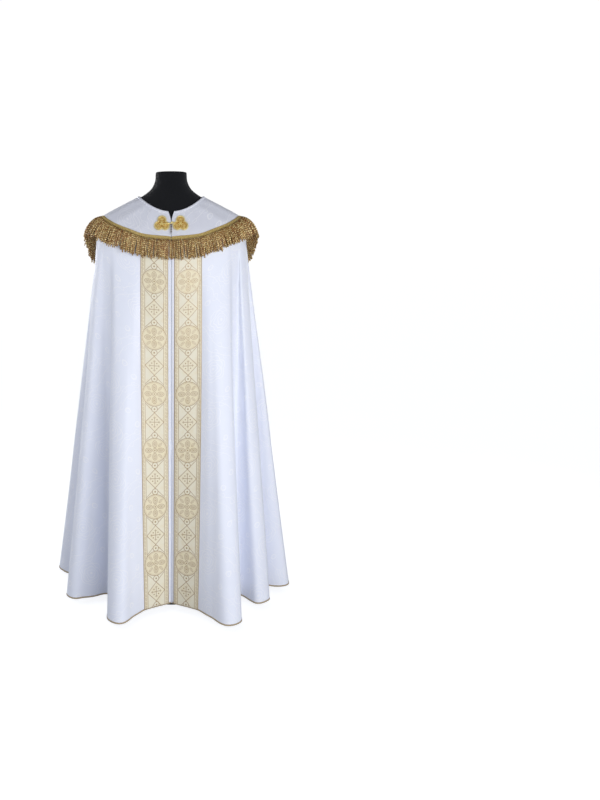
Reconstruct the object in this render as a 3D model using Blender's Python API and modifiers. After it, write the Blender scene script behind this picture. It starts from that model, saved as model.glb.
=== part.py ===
"""A cope on a limbless dress form.

Metres, +Z up. The front faces -Y and the wearer's right side is at -X. The origin is the middle of the
stand's underside. A "turn" is an angle in degrees round the garment, seen from above: 0 is the front
closure, 90 the wearer's right side, 180 the middle of the back and 270 the left side.
"""

import math
from collections import namedtuple

import bmesh
import bpy
import numpy as np

# ---- Driving dimensions -------------------------------------------------------------------------

AXIS_Y = -0.040             # the cape's upright axis, from the stand's pole
HEM_Z = 0.020               # lowest edge of the mantle above the floor
GALLOON_WIDTH = 0.094       # woven band of the two front orphreys
HOOD_GALLOON_WIDTH = 0.092  # the same band on the hood
FRONT_MARGIN = 0.010        # plain cloth between an orphrey and the front edge
HEADER_WIDTH = 0.012        # woven heading that the fringe hangs from
STRAND_DROP = 0.066         # fringe below its heading
STRANDS_A_SIDE = 60
BRAID_WIDTH = 0.006         # narrow braid round the hem

# Layers of cloth, each SEAM_GAP outside the one below it.
SEAM_GAP = 0.0006
MANTLE_THICKNESS = 0.0015
TRIM_THICKNESS = 0.0010     # orphreys and bands
HOOD_GAP = 0.0014           # between the mantle and the hood, which hangs loose on it
HOOD_THICKNESS = 0.0018
EMBLEM_THICKNESS = 0.0016
BORDER_THICKNESS = 0.0024
CROSS_THICKNESS = 0.0030
HEADER_THICKNESS = 0.0026
BRAID_THICKNESS = 0.0014
END_GAP = 0.0020            # between the braid's ends and the orphreys
FORM_GAP = 0.0010           # between the mantle's inside and the dress form's shoulders

TRIM_LIFT = MANTLE_THICKNESS + SEAM_GAP
HOOD_LIFT = MANTLE_THICKNESS + HOOD_GAP
HOOD_TRIM_LIFT = HOOD_LIFT + HOOD_THICKNESS + SEAM_GAP
EMBLEM_LIFT = HOOD_TRIM_LIFT + TRIM_THICKNESS + SEAM_GAP
RAISED_LIFT = EMBLEM_LIFT + EMBLEM_THICKNESS + SEAM_GAP
STRAND_TIP_LIFT = HOOD_TRIM_LIFT + 0.0030
HEADER_FLARE = 0.0060       # how far the heading's lower edge stands off at the shoulders
STRAND_FLARE = 0.0400       # and the tips of the strands below it

# ---- The cape surface: ovals from the neckline to below the hood's point ------------------------

CapeRing = namedtuple("CapeRing", "name z_front z_side z_back half_width front_depth back_depth")
CAPE_RINGS = (
    CapeRing("neckline",   1.346, 1.400, 1.392, 0.112, 0.088, 0.070),
    CapeRing("neck_slope", 1.304, 1.366, 1.345, 0.178, 0.111, 0.112),
    CapeRing("shoulder",   1.262, 1.330, 1.275, 0.241, 0.132, 0.152),
    CapeRing("upper_arm",  1.195, 1.262, 1.190, 0.263, 0.147, 0.182),
    CapeRing("hood_point", 0.880, 0.880, 0.880, 0.312, 0.203, 0.250),
)
SHOULDER, UPPER_ARM = 2, 3  # the mantle hangs free below the upper arm
CLOSURE_HALF_GAP = 0.0015   # from the closure to each front edge
NECK_HALF_GAP = 0.0100      # the same at the neckline, where the edges part

HeadingPoint = namedtuple("HeadingPoint", "turn z")
HEADING_EDGE = (            # upper edge of the fringe's heading: high at the arms, a point at the back
    HeadingPoint(0, 1.260), HeadingPoint(25, 1.272), HeadingPoint(37, 1.287),
    HeadingPoint(49, 1.301), HeadingPoint(64, 1.318), HeadingPoint(80, 1.330),
    HeadingPoint(90, 1.327), HeadingPoint(99, 1.308), HeadingPoint(106, 1.281),
    HeadingPoint(113, 1.249), HeadingPoint(122, 1.207), HeadingPoint(132, 1.160),
    HeadingPoint(145, 1.092), HeadingPoint(160, 1.023), HeadingPoint(172, 0.979),
    HeadingPoint(180, 0.963),
)

# ---- The folds of the mantle, read at the hem from the right front edge round the back ----------
# A ridge or valley runs straight from its turn on the upper arm's oval to its place at the hem,
# where it is about as wide as its row says.

HemPoint = namedtuple("HemPoint", "name turn x y width")
HEM_POINTS = (
    HemPoint("right_orphrey_edge", 20, -0.082, -0.168, 0.020),
    HemPoint("right_front_ridge", 38, -0.184, -0.250, 0.052),
    HemPoint("right_front_valley", 58, -0.206, -0.075, 0.050),
    HemPoint("right_arm_ridge", 74, -0.347, -0.075, 0.052),
    HemPoint("right_arm_valley", 89, -0.322, 0.060, 0.045),
    HemPoint("right_side_ridge", 103, -0.412, 0.172, 0.055),
    HemPoint("right_side_valley", 118, -0.300, 0.222, 0.045),
    HemPoint("right_back_ridge", 132, -0.306, 0.340, 0.065),
    HemPoint("right_back_valley", 146, -0.206, 0.285, 0.050),
    HemPoint("middle_right_ridge", 161, -0.126, 0.388, 0.085),
    HemPoint("middle_valley", 176, -0.012, 0.282, 0.055),
    HemPoint("middle_left_ridge", 193, 0.104, 0.390, 0.090),
    HemPoint("left_back_valley", 210, 0.198, 0.283, 0.050),
    HemPoint("left_back_ridge", 226, 0.310, 0.330, 0.065),
    HemPoint("left_side_valley", 244, 0.312, 0.178, 0.050),
    HemPoint("left_side_ridge", 262, 0.414, 0.040, 0.060),
    HemPoint("left_arm_valley", 276, 0.298, -0.015, 0.045),
    HemPoint("left_arm_ridge", 288, 0.312, -0.112, 0.060),
    HemPoint("left_front_valley", 302, 0.216, -0.082, 0.045),
    HemPoint("left_front_ridge", 322, 0.203, -0.262, 0.056),
    HemPoint("left_orphrey_edge", 340, 0.082, -0.168, 0.020),
)
HEM_FRONT_Y = -0.122        # the front edges at the hem

# ---- The emblem and the clasp -------------------------------------------------------------------

EMBLEM_Z = 1.187            # middle of the emblem and of the hood's level band
EMBLEM_SQUARE = 0.0755      # half the square between the four lobes
EMBLEM_LOBE = 0.0460        # radius of a lobe, centred on the square's side
EMBLEM_BORDER = 0.0060
CrossStation = namedtuple("CrossStation", "along half_width")
CROSS_ARM = (               # one arm from the middle out: bar, pair of scrolls, pointed tip
    CrossStation(0.0120, 0.0120), CrossStation(0.0340, 0.0120), CrossStation(0.0560, 0.0120),
    CrossStation(0.0650, 0.0280), CrossStation(0.0740, 0.0280), CrossStation(0.0800, 0.0110),
    CrossStation(0.0870, 0.0175), CrossStation(0.1070, 0.0010),
)
CLASP_Z = 1.303
CLASP_OFFSET = 0.0315       # middle of each half from the closure
CLASP_LOBE_RADIUS = 0.0262  # from a half's middle to the end of a lobe
CLASP_WAIST_RADIUS = 0.0190 # and to the waist between two lobes
CLASP_THICKNESS = 0.0030
HOOK_RADIUS = 0.0012
HOOK_REACH = 0.0100
CHAIN_START = 0.0014        # from the hook's middle down to the chain's end
CHAIN_DROP = 0.0360

# ---- The dress form and its stand ---------------------------------------------------------------

FormRing = namedtuple("FormRing", "name z half_width front_depth back_depth")
FORM_NECK = (
    FormRing("cap",         1.4900, 0.0520, 0.0530, 0.0500),
    FormRing("cap_edge",    1.4870, 0.0545, 0.0555, 0.0525),
    FormRing("neck_middle", 1.4600, 0.0570, 0.0580, 0.0540),
    FormRing("neck_base",   1.4300, 0.0710, 0.0670, 0.0590),
)
FORM_BODY = (
    FormRing("armhole",     1.2350, 0.2260, 0.1160, 0.1380),
    FormRing("chest",       1.1500, 0.1960, 0.1180, 0.1320),
    FormRing("waist",       0.9600, 0.1600, 0.0920, 0.1060),
    FormRing("hip",         0.8200, 0.1820, 0.1020, 0.1320),
    FormRing("seat",        0.7500, 0.1740, 0.0980, 0.1280),
)
POLE_RADIUS = 0.0160
BASE_RADIUS = 0.1350
BASE_THICKNESS = 0.0120
STAND_GAP = 0.0003          # between the form, the pole and the base
STAND_SIDES = 32

# ---- How finely the surfaces are divided --------------------------------------------------------

YOKE_ROWS = (0, 0.5, 1, 1.5, 2, 2.5, 3)          # places between the cape's ovals
ORPHREY_START = 2.30                             # just under the hood's front edge
BRAID_SHARE = 1 - BRAID_WIDTH / (CAPE_RINGS[UPPER_ARM].z_front - HEM_Z)
DRAPE_SHARES = (0.13, 0.31, 0.53, 0.76, BRAID_SHARE, 1)   # shares of the way down to the hem
STRIP_COLUMNS = 4           # across a front orphrey
MAIN_COLUMNS = 84           # round the mantle between the two orphreys
HOOD_COLUMNS, HOOD_ROWS = 66, 10
HOOD_ROW_SPREAD = 1.3       # closer rows near the neck, where the hood curves most
BAND_COLUMNS, BAND_ROWS = 4, 20
SIDE_BAND_COLUMNS, SIDE_BAND_ROWS = 12, 3
FORM_COLUMNS = 40
LOBE_SPOKES, SQUARE_SPOKES = 3, 2                # in each eighth of the emblem
EMBLEM_RINGS = 4
CLASP_SPOKES = 24
MEASURING_POINTS = 1441     # along a curve whose length is measured

COLLECTION = "cope_on_dress_form"


# ---- Scene helpers ------------------------------------------------------------------------------


def clear_scene():
    for obj in list(bpy.data.objects):
        bpy.data.objects.remove(obj, do_unlink=True)
    collection = bpy.data.collections.new(COLLECTION)
    bpy.context.scene.collection.children.link(collection)


def make_material(name, colour, roughness, metallic=0.0):
    material = bpy.data.materials.new(name)
    material.use_nodes = True
    shader = material.node_tree.nodes["Principled BSDF"]
    shader.inputs["Base Color"].default_value = (*colour, 1.0)
    shader.inputs["Roughness"].default_value = roughness
    shader.inputs["Metallic"].default_value = metallic
    return material


def add_object(name, data, material):
    data.materials.append(material)
    obj = bpy.data.objects.new(name, data)
    bpy.data.collections[COLLECTION].objects.link(obj)
    return obj


def add_mesh(name, points, faces, material):
    mesh = bpy.data.meshes.new(name)
    mesh.from_pydata([tuple(map(float, point)) for point in points], [], faces)
    mesh.shade_smooth()
    return add_object(name, mesh, material)


def thicken(obj, thickness):
    """Give an open surface its thickness, outwards."""
    solidify = obj.modifiers.new("thickness", "SOLIDIFY")
    solidify.thickness = thickness
    solidify.offset = 1.0


# ---- Curves and grids ---------------------------------------------------------------------------


def smooth_slopes(knots, values):
    steps = np.diff(knots, axis=0)
    rises = np.diff(values, axis=0) / steps
    inner = (steps[1:] * rises[:-1] + steps[:-1] * rises[1:]) / (steps[1:] + steps[:-1])
    return np.concatenate([rises[:1], inner, rises[-1:]])


def smooth_value(knots, values, at):
    """A smooth curve through values at rising knots, read at the places in at.

    Each place may have its own column of knots and of values."""
    at = np.asarray(at, float)
    knots = np.broadcast_to(np.asarray(knots, float).reshape(len(knots), -1), (len(knots), at.size))
    values = np.broadcast_to(np.asarray(values, float).reshape(len(knots), -1), knots.shape)
    slopes = smooth_slopes(knots, values)
    place = np.clip(at.ravel(), knots[0], knots[-1])
    below = np.clip((knots <= place).sum(axis=0) - 1, 0, len(knots) - 2)
    column = np.arange(at.size)
    step = knots[below + 1, column] - knots[below, column]
    share = (place - knots[below, column]) / step
    square, cube = share**2, share**3
    made = (
        (2 * cube - 3 * square + 1) * values[below, column]
        + (cube - 2 * square + share) * step * slopes[below, column]
        + (3 * square - 2 * cube) * values[below + 1, column]
        + (cube - square) * step * slopes[below + 1, column]
    )
    return made.reshape(at.shape)


def chord_knots(points):
    """Knots for a smooth curve through points: running sums of the square roots of the chords."""
    chords = np.linalg.norm(np.diff(points, axis=0), axis=-1)
    return np.concatenate([[0.0], np.cumsum(np.sqrt(chords))])


def running_length(curve):
    steps = np.linalg.norm(np.diff(curve, axis=0), axis=-1)
    return np.concatenate([[0.0], np.cumsum(steps)])


def read_curve(lengths, curve, at):
    return np.stack([np.interp(at, lengths, curve[:, axis]) for axis in range(curve.shape[1])], axis=-1)


def grid_faces(grid, closed=False):
    """Triangles over a grid whose rows run down the garment and whose columns run round it.

    Each square is split along the diagonal that lies further out."""
    rows, columns, _ = grid.shape
    points = grid.reshape(-1, 3)
    faces = []
    for row in range(rows - 1):
        for column in range(columns if closed else columns - 1):
            a, b = row * columns + column, row * columns + (column + 1) % columns
            c, d = a + columns, b + columns
            along = points[b] + points[d] - points[a] - points[c]
            down = points[c] + points[d] - points[a] - points[b]
            outward = np.cross(along, down)
            if np.dot(points[a] + points[d] - points[b] - points[c], outward) > 0:
                faces += [(a, d, c), (a, b, d)]
            else:
                faces += [(a, b, c), (b, d, c)]
    return faces


def outward_normals(grid):
    down = np.gradient(grid, axis=0)
    along = np.gradient(grid, axis=1)
    normals = np.cross(along, down)
    return normals / np.linalg.norm(normals, axis=2, keepdims=True)


def cloth_wall(name, grid, lift, thickness, material):
    """A wall of cloth: the grid's points moved out by lift, then thickened outwards."""
    moved = grid + outward_normals(grid) * lift
    thicken(add_mesh(name, moved.reshape(-1, 3), grid_faces(moved), material), thickness)


# ---- The cape surface ---------------------------------------------------------------------------


def cape_columns(turn):
    """Height, half width and depth of every cape oval at these turns, from the lowest oval up."""
    sine, cosine = np.sin(np.radians(turn)), np.cos(np.radians(turn))
    rings = CAPE_RINGS[::-1]
    heights = [r.z_side * sine**2 + np.where(cosine > 0, r.z_front, r.z_back) * cosine**2 for r in rings]
    widths = [r.half_width + 0 * sine for r in rings]
    depths = [np.where(cosine > 0, r.front_depth, r.back_depth) for r in rings]
    return np.array(heights), np.array(widths), np.array(depths)


def cape_points(turn, z):
    """Points of the cape surface at these turns and heights."""
    turn, z = np.broadcast_arrays(np.asarray(turn, float), np.asarray(z, float))
    shape = turn.shape
    turn, z = turn.ravel(), z.ravel()
    heights, widths, depths = cape_columns(turn)
    x = -smooth_value(heights, widths, z) * np.sin(np.radians(turn))
    y = AXIS_Y - smooth_value(heights, depths, z) * np.cos(np.radians(turn))
    return np.stack([x, y, z], axis=-1).reshape(*shape, 3)


def cape_normals(turn, z):
    """Outward unit normals of the cape surface at these turns and heights."""
    small_turn, small_z = 0.2, 0.0005
    along = cape_points(turn + small_turn, z) - cape_points(turn - small_turn, z)
    down = cape_points(turn, z - small_z) - cape_points(turn, z + small_z)
    normals = np.cross(along, down)
    return normals / np.linalg.norm(normals, axis=-1, keepdims=True)


def cape_row_z(place, turn):
    """Height at these turns of the row at a place between the cape's ovals, 0 at the neckline."""
    heights = cape_columns(turn)[0][::-1]
    upper = min(int(place), len(CAPE_RINGS) - 2)
    return heights[upper] + (heights[upper + 1] - heights[upper]) * (place - upper)


def edge_turn(z):
    """The turn of the right front edge at these heights: the closure's gap widens at the neck."""
    heights, widths, _ = cape_columns(np.array([0.0]))
    neck, slope = heights[-1, 0], heights[-2, 0]
    share = np.clip((z - slope) / (neck - slope), 0, 1)
    gap = CLOSURE_HALF_GAP + (NECK_HALF_GAP - CLOSURE_HALF_GAP) * share**2
    return np.degrees(np.arcsin(gap / smooth_value(heights, widths, z)))


def turn_at(x, z, facing):
    """The turn of the cape's point with this x and height, in front (facing 0) or behind (180)."""
    side = math.cos(math.radians(facing))
    turn = np.full(np.shape(x), float(facing))
    for _ in range(8):
        heights, widths, _depths = cape_columns(turn.ravel())
        width = smooth_value(heights, widths, np.ravel(z)).reshape(turn.shape)
        turn = facing - side * np.degrees(np.arcsin(np.clip(x / width, -1, 1)))
    return turn


def heading_z(turn):
    """Height of the upper edge of the fringe's heading at these turns."""
    folded = np.where(np.asarray(turn) > 180, 360 - np.asarray(turn), turn)
    return smooth_value([p.turn for p in HEADING_EDGE], [p.z for p in HEADING_EDGE], folded)


def hood_edge_z(turn):
    """Height of the hood's edge, HEADER_WIDTH square to the heading's upper edge."""
    small_turn, small_z = 0.5, 0.002
    turn = np.clip(turn, small_turn, 360 - small_turn)
    z = heading_z(turn)
    ahead, behind = turn + small_turn, turn - small_turn
    along = cape_points(ahead, heading_z(ahead)) - cape_points(behind, heading_z(behind))
    along /= np.linalg.norm(along, axis=-1, keepdims=True)
    up = (cape_points(turn, z + small_z) - cape_points(turn, z)) / small_z
    across = up - along * (up * along).sum(axis=-1, keepdims=True)
    return z - HEADER_WIDTH / np.linalg.norm(across, axis=-1)


# ---- The mantle and its trims -------------------------------------------------------------------


def hem_curve():
    """The hem seen from above as a fine curve, and the turns that its points hang from."""
    start = edge_turn(np.array([CAPE_RINGS[UPPER_ARM].z_front]))[0]
    ends = [HemPoint("right_edge", start, -CLOSURE_HALF_GAP, HEM_FRONT_Y, 0.0),
            HemPoint("left_edge", 360 - start, CLOSURE_HALF_GAP, HEM_FRONT_Y, 0.0)]
    row = [ends[0], *HEM_POINTS, ends[1]]
    points, turns = [(ends[0].x, ends[0].y)], [ends[0].turn]
    for before, point, after in zip(row, row[1:], row[2:]):
        span = np.array([after.x - before.x, after.y - before.y])
        half = point.width / 2 / np.linalg.norm(span)
        for side in (-half, half):
            points.append((point.x + side * span[0], point.y + side * span[1]))
            turns.append(point.turn + side * (after.turn - before.turn))
    points = np.array(points + [(ends[1].x, ends[1].y)])
    turns.append(ends[1].turn)
    knots = chord_knots(points)
    at = np.linspace(0, knots[-1], MEASURING_POINTS)
    x, y = (smooth_value(knots, points[:, axis], at) for axis in (0, 1))
    curve = np.stack([x, y + AXIS_Y, np.full_like(x, HEM_Z)], axis=-1)
    return curve, smooth_value(knots, turns, at)


def column_lengths(total):
    """Distances along a row from the right front edge: an orphrey's columns, the rest, the other's."""
    strip = FRONT_MARGIN + np.linspace(0, GALLOON_WIDTH, STRIP_COLUMNS + 1)
    strip = np.concatenate([[0.0], strip])
    main = np.linspace(strip[-1], total - strip[-1], MAIN_COLUMNS + 1)[1:-1]
    return np.concatenate([strip, main, total - strip[::-1]])


def yoke_row(place):
    """One row of the mantle where it lies on the cape surface."""
    low = cape_row_z(place, np.array([0.0]))
    start = edge_turn(low)[0]
    turns = np.linspace(start, 360 - start, MEASURING_POINTS)
    curve = cape_points(turns, cape_row_z(place, turns))
    lengths = running_length(curve)
    return read_curve(lengths, curve, column_lengths(lengths[-1]))


def drape_row(share):
    """One row of the mantle below the upper arm, a share of the way to the hem."""
    hem, turns = hem_curve()
    top = cape_points(turns, cape_row_z(UPPER_ARM, turns))
    curve = top + (hem - top) * share
    lengths = running_length(curve)
    strip = FRONT_MARGIN + GALLOON_WIDTH
    hem_lengths = running_length(hem)
    columns = column_lengths(hem_lengths[-1])
    # Between the orphreys each column keeps its own line of drape from the oval to the hem.
    share_along = (columns - strip) / (hem_lengths[-1] - 2 * strip)
    own = (hem_lengths - strip) / (hem_lengths[-1] - 2 * strip)
    drape = np.interp(share_along, own, lengths)
    low, high = np.interp([0, 1], own, lengths)
    main = strip + (drape - low) * (lengths[-1] - 2 * strip) / (high - low)
    outer = (share_along < 0) | (share_along > 1)
    at = np.where(outer, column_lengths(lengths[-1]), main)
    return read_curve(lengths, curve, at)


def mantle_rows(first=0.0):
    yoke = [place for place in YOKE_ROWS if place > first]
    rows = [yoke_row(place) for place in [first] + yoke]
    return rows + [drape_row(share) for share in DRAPE_SHARES]


def make_mantle(material):
    cloth_wall("mantle", np.array(mantle_rows()), 0.0, MANTLE_THICKNESS, material)


def make_front_orphreys(material):
    rows = np.array(mantle_rows(ORPHREY_START))
    right = rows[:, 1:STRIP_COLUMNS + 2]
    left = rows[:, -STRIP_COLUMNS - 2:-1]
    for name, grid in (("orphrey_front_right", right), ("orphrey_front_left", left)):
        cloth_wall(name, grid, TRIM_LIFT, TRIM_THICKNESS, material)


def make_hem_braid(material):
    """The braid on the mantle's lowest rows, from one orphrey's end round to the other's."""
    grid = np.array([drape_row(BRAID_SHARE), drape_row(1)])[:, STRIP_COLUMNS + 1:-STRIP_COLUMNS - 1]
    for end, inner in ((0, 1), (-1, -2)):
        step = grid[:, inner] - grid[:, end]
        grid[:, end] += step * END_GAP / np.linalg.norm(step[0])
    cloth_wall("hem_braid", grid, TRIM_LIFT, BRAID_THICKNESS, material)


# ---- The hood and what is sewn on it ------------------------------------------------------------


def make_hood(material):
    """Rows from the neckline to the hood's edge, over the whole turn of the cape."""
    around = np.linspace(0, 1, HOOD_COLUMNS + 1)
    rows = []
    for down in np.linspace(0, 1, HOOD_ROWS + 1)**HOOD_ROW_SPREAD:
        turn = 360 * around
        for _ in range(3):
            top = cape_row_z(0, turn)
            z = top + (hood_edge_z(turn) - top) * down
            start = edge_turn(np.where(around < 0.5, z[0], z[-1]))
            turn = start + (360 - 2 * start) * around
        rows.append(cape_points(turn, z))
    cloth_wall("hood", np.array(rows), HOOD_LIFT, HOOD_THICKNESS, material)


def make_vertical_band(material):
    """From the neckline to the heading of the fringe, down the middle of the hood's back."""
    half = HOOD_GALLOON_WIDTH / 2
    x = np.linspace(-half, half, BAND_COLUMNS + 1)
    top_turn, tip_turn = (turn_at(x, np.full_like(x, z), 180) for z in
                          (CAPE_RINGS[0].z_back, HEADING_EDGE[-1].z))
    top = cape_row_z(0, top_turn) - SEAM_GAP
    bottom = heading_z(tip_turn) + SEAM_GAP
    rows = []
    for down in np.linspace(0, 1, BAND_ROWS + 1):
        z = top + (bottom - top) * down
        rows.append(cape_points(turn_at(x, z, 180), z))
    cloth_wall("hood_band_vertical", np.array(rows), HOOD_TRIM_LIFT, TRIM_THICKNESS, material)


def heading_turn(z):
    """The turn, on the wearer's right, at which the heading's upper edge has this height."""
    turns = np.linspace(90, 180, MEASURING_POINTS)
    return np.interp(z, heading_z(turns)[::-1], turns[::-1])


def make_side_bands(material):
    """The level band, in two lengths from the vertical band to the heading of the fringe."""
    half = HOOD_GALLOON_WIDTH / 2
    rows = []
    for z in np.linspace(EMBLEM_Z + half, EMBLEM_Z - half, SIDE_BAND_ROWS + 1):
        inner = turn_at(np.array([-half - SEAM_GAP]), np.array([z]), 180)[0]
        outer = heading_turn(z) + math.degrees(SEAM_GAP / CAPE_RINGS[UPPER_ARM].half_width)
        rows.append(np.linspace(outer, inner, SIDE_BAND_COLUMNS + 1))
    turns = np.array(rows)
    heights = np.linspace(EMBLEM_Z + half, EMBLEM_Z - half, SIDE_BAND_ROWS + 1)[:, None]
    right = cape_points(turns, heights)
    left = cape_points(360 - turns[:, ::-1], heights)
    for name, grid in (("hood_band_right", right), ("hood_band_left", left)):
        cloth_wall(name, grid, HOOD_TRIM_LIFT, TRIM_THICKNESS, material)


def on_cape(x, z, facing, lift):
    """Points that lie this far outside the cape surface, in front or behind."""
    turn = turn_at(x, z, facing)
    return cape_points(turn, z) + cape_normals(turn, z) * lift


def emblem_outline():
    """The emblem's outline as angles and radii: four lobes with a square's corners between them."""
    cusp = math.degrees(math.atan2(EMBLEM_LOBE, EMBLEM_SQUARE))
    lobe = np.linspace(0, cusp, LOBE_SPOKES + 1)
    corner = np.linspace(cusp, 45, SQUARE_SPOKES + 1)[1:]
    eighth = np.concatenate([lobe, corner])
    quarter = np.concatenate([eighth, 90 - eighth[-2:0:-1]])
    from_axis = np.radians(np.minimum(quarter, 90 - quarter))
    reach = EMBLEM_LOBE**2 - (EMBLEM_SQUARE * np.sin(from_axis))**2
    lobe_radius = EMBLEM_SQUARE * np.cos(from_axis) + np.sqrt(np.maximum(reach, 0))
    on_lobe = from_axis <= math.radians(cusp) + 1e-9
    radius = np.where(on_lobe, lobe_radius, EMBLEM_SQUARE / np.cos(from_axis))
    angles = np.concatenate([quarter + 90 * step for step in range(4)])
    return np.radians(angles), np.tile(radius, 4)


def rings_on_cape(angles, radii, middle, facing, lift):
    """Rings of points round a middle (x, z) on the cape surface, one row of radii for each ring."""
    side = -math.cos(math.radians(facing))
    x = middle[0] + side * radii * np.cos(angles)
    z = middle[1] + radii * np.sin(angles)
    return on_cape(x, z, facing, lift)


def badge(name, angles, radii, middle, facing, lift, thickness, material):
    """A badge on the cape surface: rings of points round a middle point."""
    rings = rings_on_cape(angles, radii, middle, facing, lift)
    hub = on_cape(np.array([middle[0]]), np.array([middle[1]]), facing, lift)
    count = len(angles)
    points = np.concatenate([hub, rings.reshape(-1, 3)])
    fan = [(0, 1 + (i + 1) % count, 1 + i) for i in range(count)]
    bands = [tuple(1 + i for i in face) for face in grid_faces(rings, closed=True)]
    thicken(add_mesh(name, points, fan + bands, material), thickness)


def make_emblem(ground, gold):
    angles, outline = emblem_outline()
    middle = (0.0, EMBLEM_Z)
    shares = np.linspace(0, 1, EMBLEM_RINGS + 1)[1:, None]
    badge("emblem_ground", angles, outline * shares, middle, 180, EMBLEM_LIFT, EMBLEM_THICKNESS, ground)
    edges = np.array([outline - EMBLEM_BORDER, outline - 2 * SEAM_GAP])
    rings = rings_on_cape(angles, edges, middle, 180, RAISED_LIFT)
    border = add_mesh("emblem_border", rings.reshape(-1, 3), grid_faces(rings, closed=True), gold)
    thicken(border, BORDER_THICKNESS)
    make_emblem_cross(gold)


def make_emblem_cross(material):
    """Four arms, three points across at each station, round one middle point."""
    flat, faces = [(0.0, 0.0)], []
    for arm in range(4):
        cosine, sine = round(math.cos(arm * math.pi / 2)), round(math.sin(arm * math.pi / 2))
        first = len(flat)
        for station in CROSS_ARM:
            for side in (-1, 0, 1):
                along, across = station.along, side * station.half_width
                flat.append((along * cosine - across * sine, along * sine + across * cosine))
        for half in (0, 1):
            faces.append((0, first + half + 1, first + half))
            for a in range(first + half, len(flat) - 3, 3):
                faces += [(a, a + 1, a + 4), (a, a + 4, a + 3)]
    x, z = np.array(flat).T
    obj = add_mesh("emblem_cross", on_cape(x, EMBLEM_Z + z, 180, RAISED_LIFT), faces, material)
    work = bmesh.new()
    work.from_mesh(obj.data)
    bmesh.ops.remove_doubles(work, verts=work.verts, dist=SEAM_GAP / 4)
    work.to_mesh(obj.data)
    work.free()
    thicken(obj, CROSS_THICKNESS)


# ---- The fringe ---------------------------------------------------------------------------------


def make_fringe(name, turns, material):
    """A woven heading on the hood's edge, with every second stretch of it drawn down into a strand."""
    edge_z, top_z = hood_edge_z(turns), heading_z(turns)
    lower = cape_points(turns, edge_z)
    upper = cape_points(turns, top_z)
    lower_out, upper_out = cape_normals(turns, edge_z), cape_normals(turns, top_z)
    # At the shoulders the hood's edge juts out and the fringe falls clear of the arm.
    jut = np.sin(np.radians(turns))[:, None]**4
    lower_lift = HOOD_TRIM_LIFT + HEADER_FLARE * jut
    section = [
        upper + upper_out * HOOD_TRIM_LIFT,
        upper + upper_out * (HOOD_TRIM_LIFT + HEADER_THICKNESS),
        lower + lower_out * (lower_lift + HEADER_THICKNESS),
        lower + lower_out * lower_lift,
    ]
    tip_z = edge_z - STRAND_DROP
    tips = cape_points(turns, tip_z)
    drop = tips - lower
    drop *= STRAND_DROP / np.linalg.norm(drop, axis=1, keepdims=True)
    tip_out = cape_normals(turns, tip_z)
    tip_lift = STRAND_TIP_LIFT + STRAND_FLARE * jut
    inner_tip = lower + drop + tip_out * tip_lift
    outer_tip = lower + drop + tip_out * (tip_lift + HEADER_THICKNESS)

    points = np.concatenate([*section, outer_tip, inner_tip])
    count = len(turns)

    def index(line, column):
        return line * count + column

    faces = []
    for column in range(count - 1):
        strand = column % 2 == 0
        lines = [(0, 1), (1, 2), (3, 0)]
        lines += [(2, 4), (4, 5), (5, 3)] if strand else [(2, 3)]
        for first, second in lines:
            a, b = index(first, column), index(first, column + 1)
            c, d = index(second, column), index(second, column + 1)
            faces += [(a, d, c), (a, b, d)]
        if strand:
            for side, flip in ((column, False), (column + 1, True)):
                cheek = [index(2, side), index(4, side), index(5, side), index(3, side)]
                faces += triangles(cheek[::-1] if flip else cheek)
    for end, flip in ((0, False), (count - 1, True)):
        cap = [index(line, end) for line in range(4)]
        faces += triangles(cap[::-1] if flip else cap)
    add_mesh(name, points, faces, material)


def triangles(ring):
    return [(ring[0], ring[i], ring[i + 1]) for i in range(1, len(ring) - 1)]


def make_fringes(material):
    """Equal stretches of the hood's edge on each side, from the closure to the middle of the back."""
    start = edge_turn(np.array([HEADING_EDGE[0].z]))[0]
    turns = np.linspace(start, 180 - start, MEASURING_POINTS)
    lengths = running_length(cape_points(turns, hood_edge_z(turns)))
    at = np.linspace(0, lengths[-1], 2 * STRANDS_A_SIDE)
    right = np.interp(at, lengths, turns)
    make_fringe("hood_fringe_right", right, material)
    make_fringe("hood_fringe_left", 360 - right[::-1], material)


# ---- The clasp ----------------------------------------------------------------------------------


def make_clasp(material):
    angles = np.linspace(0, 2 * math.pi, CLASP_SPOKES, endpoint=False)
    middle_radius = (CLASP_LOBE_RADIUS + CLASP_WAIST_RADIUS) / 2
    swing = (CLASP_LOBE_RADIUS - CLASP_WAIST_RADIUS) / 2
    lift = HOOD_TRIM_LIFT
    for name, side in (("clasp_right", -1), ("clasp_left", 1)):
        outline = middle_radius + swing * np.cos(3 * (angles - math.pi / 2))
        radii = outline * np.array([[0.5], [1.0]])
        middle = (side * CLASP_OFFSET, CLASP_Z)
        badge(name, angles, radii, middle, 0, lift, CLASP_THICKNESS, material)
    make_clasp_hook(material, lift + CLASP_THICKNESS + HOOK_RADIUS + SEAM_GAP)


def make_clasp_hook(material, lift):
    """The hook between the two halves, and the chain that hangs from it."""
    x = np.linspace(-HOOK_REACH, HOOK_REACH, 5)
    path = on_cape(x, np.full_like(x, CLASP_Z), 0, lift)
    add_tube("clasp_hook", path, HOOK_RADIUS, material)
    z = CLASP_Z - np.linspace(CHAIN_START, CHAIN_DROP, 6)
    hang = on_cape(np.zeros_like(z), z, 0, lift)
    add_tube("clasp_chain", hang, HOOK_RADIUS, material)


def add_tube(name, path, radius, material):
    curve = bpy.data.curves.new(name, "CURVE")
    curve.dimensions = "3D"
    curve.bevel_depth = radius
    curve.bevel_resolution = 1
    curve.use_fill_caps = True
    spline = curve.splines.new("POLY")
    spline.points.add(len(path) - 1)
    for point, place in zip(spline.points, path):
        point.co = (*map(float, place), 1.0)
    return add_object(name, curve, material)


# ---- The dress form and its stand ---------------------------------------------------------------


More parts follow.
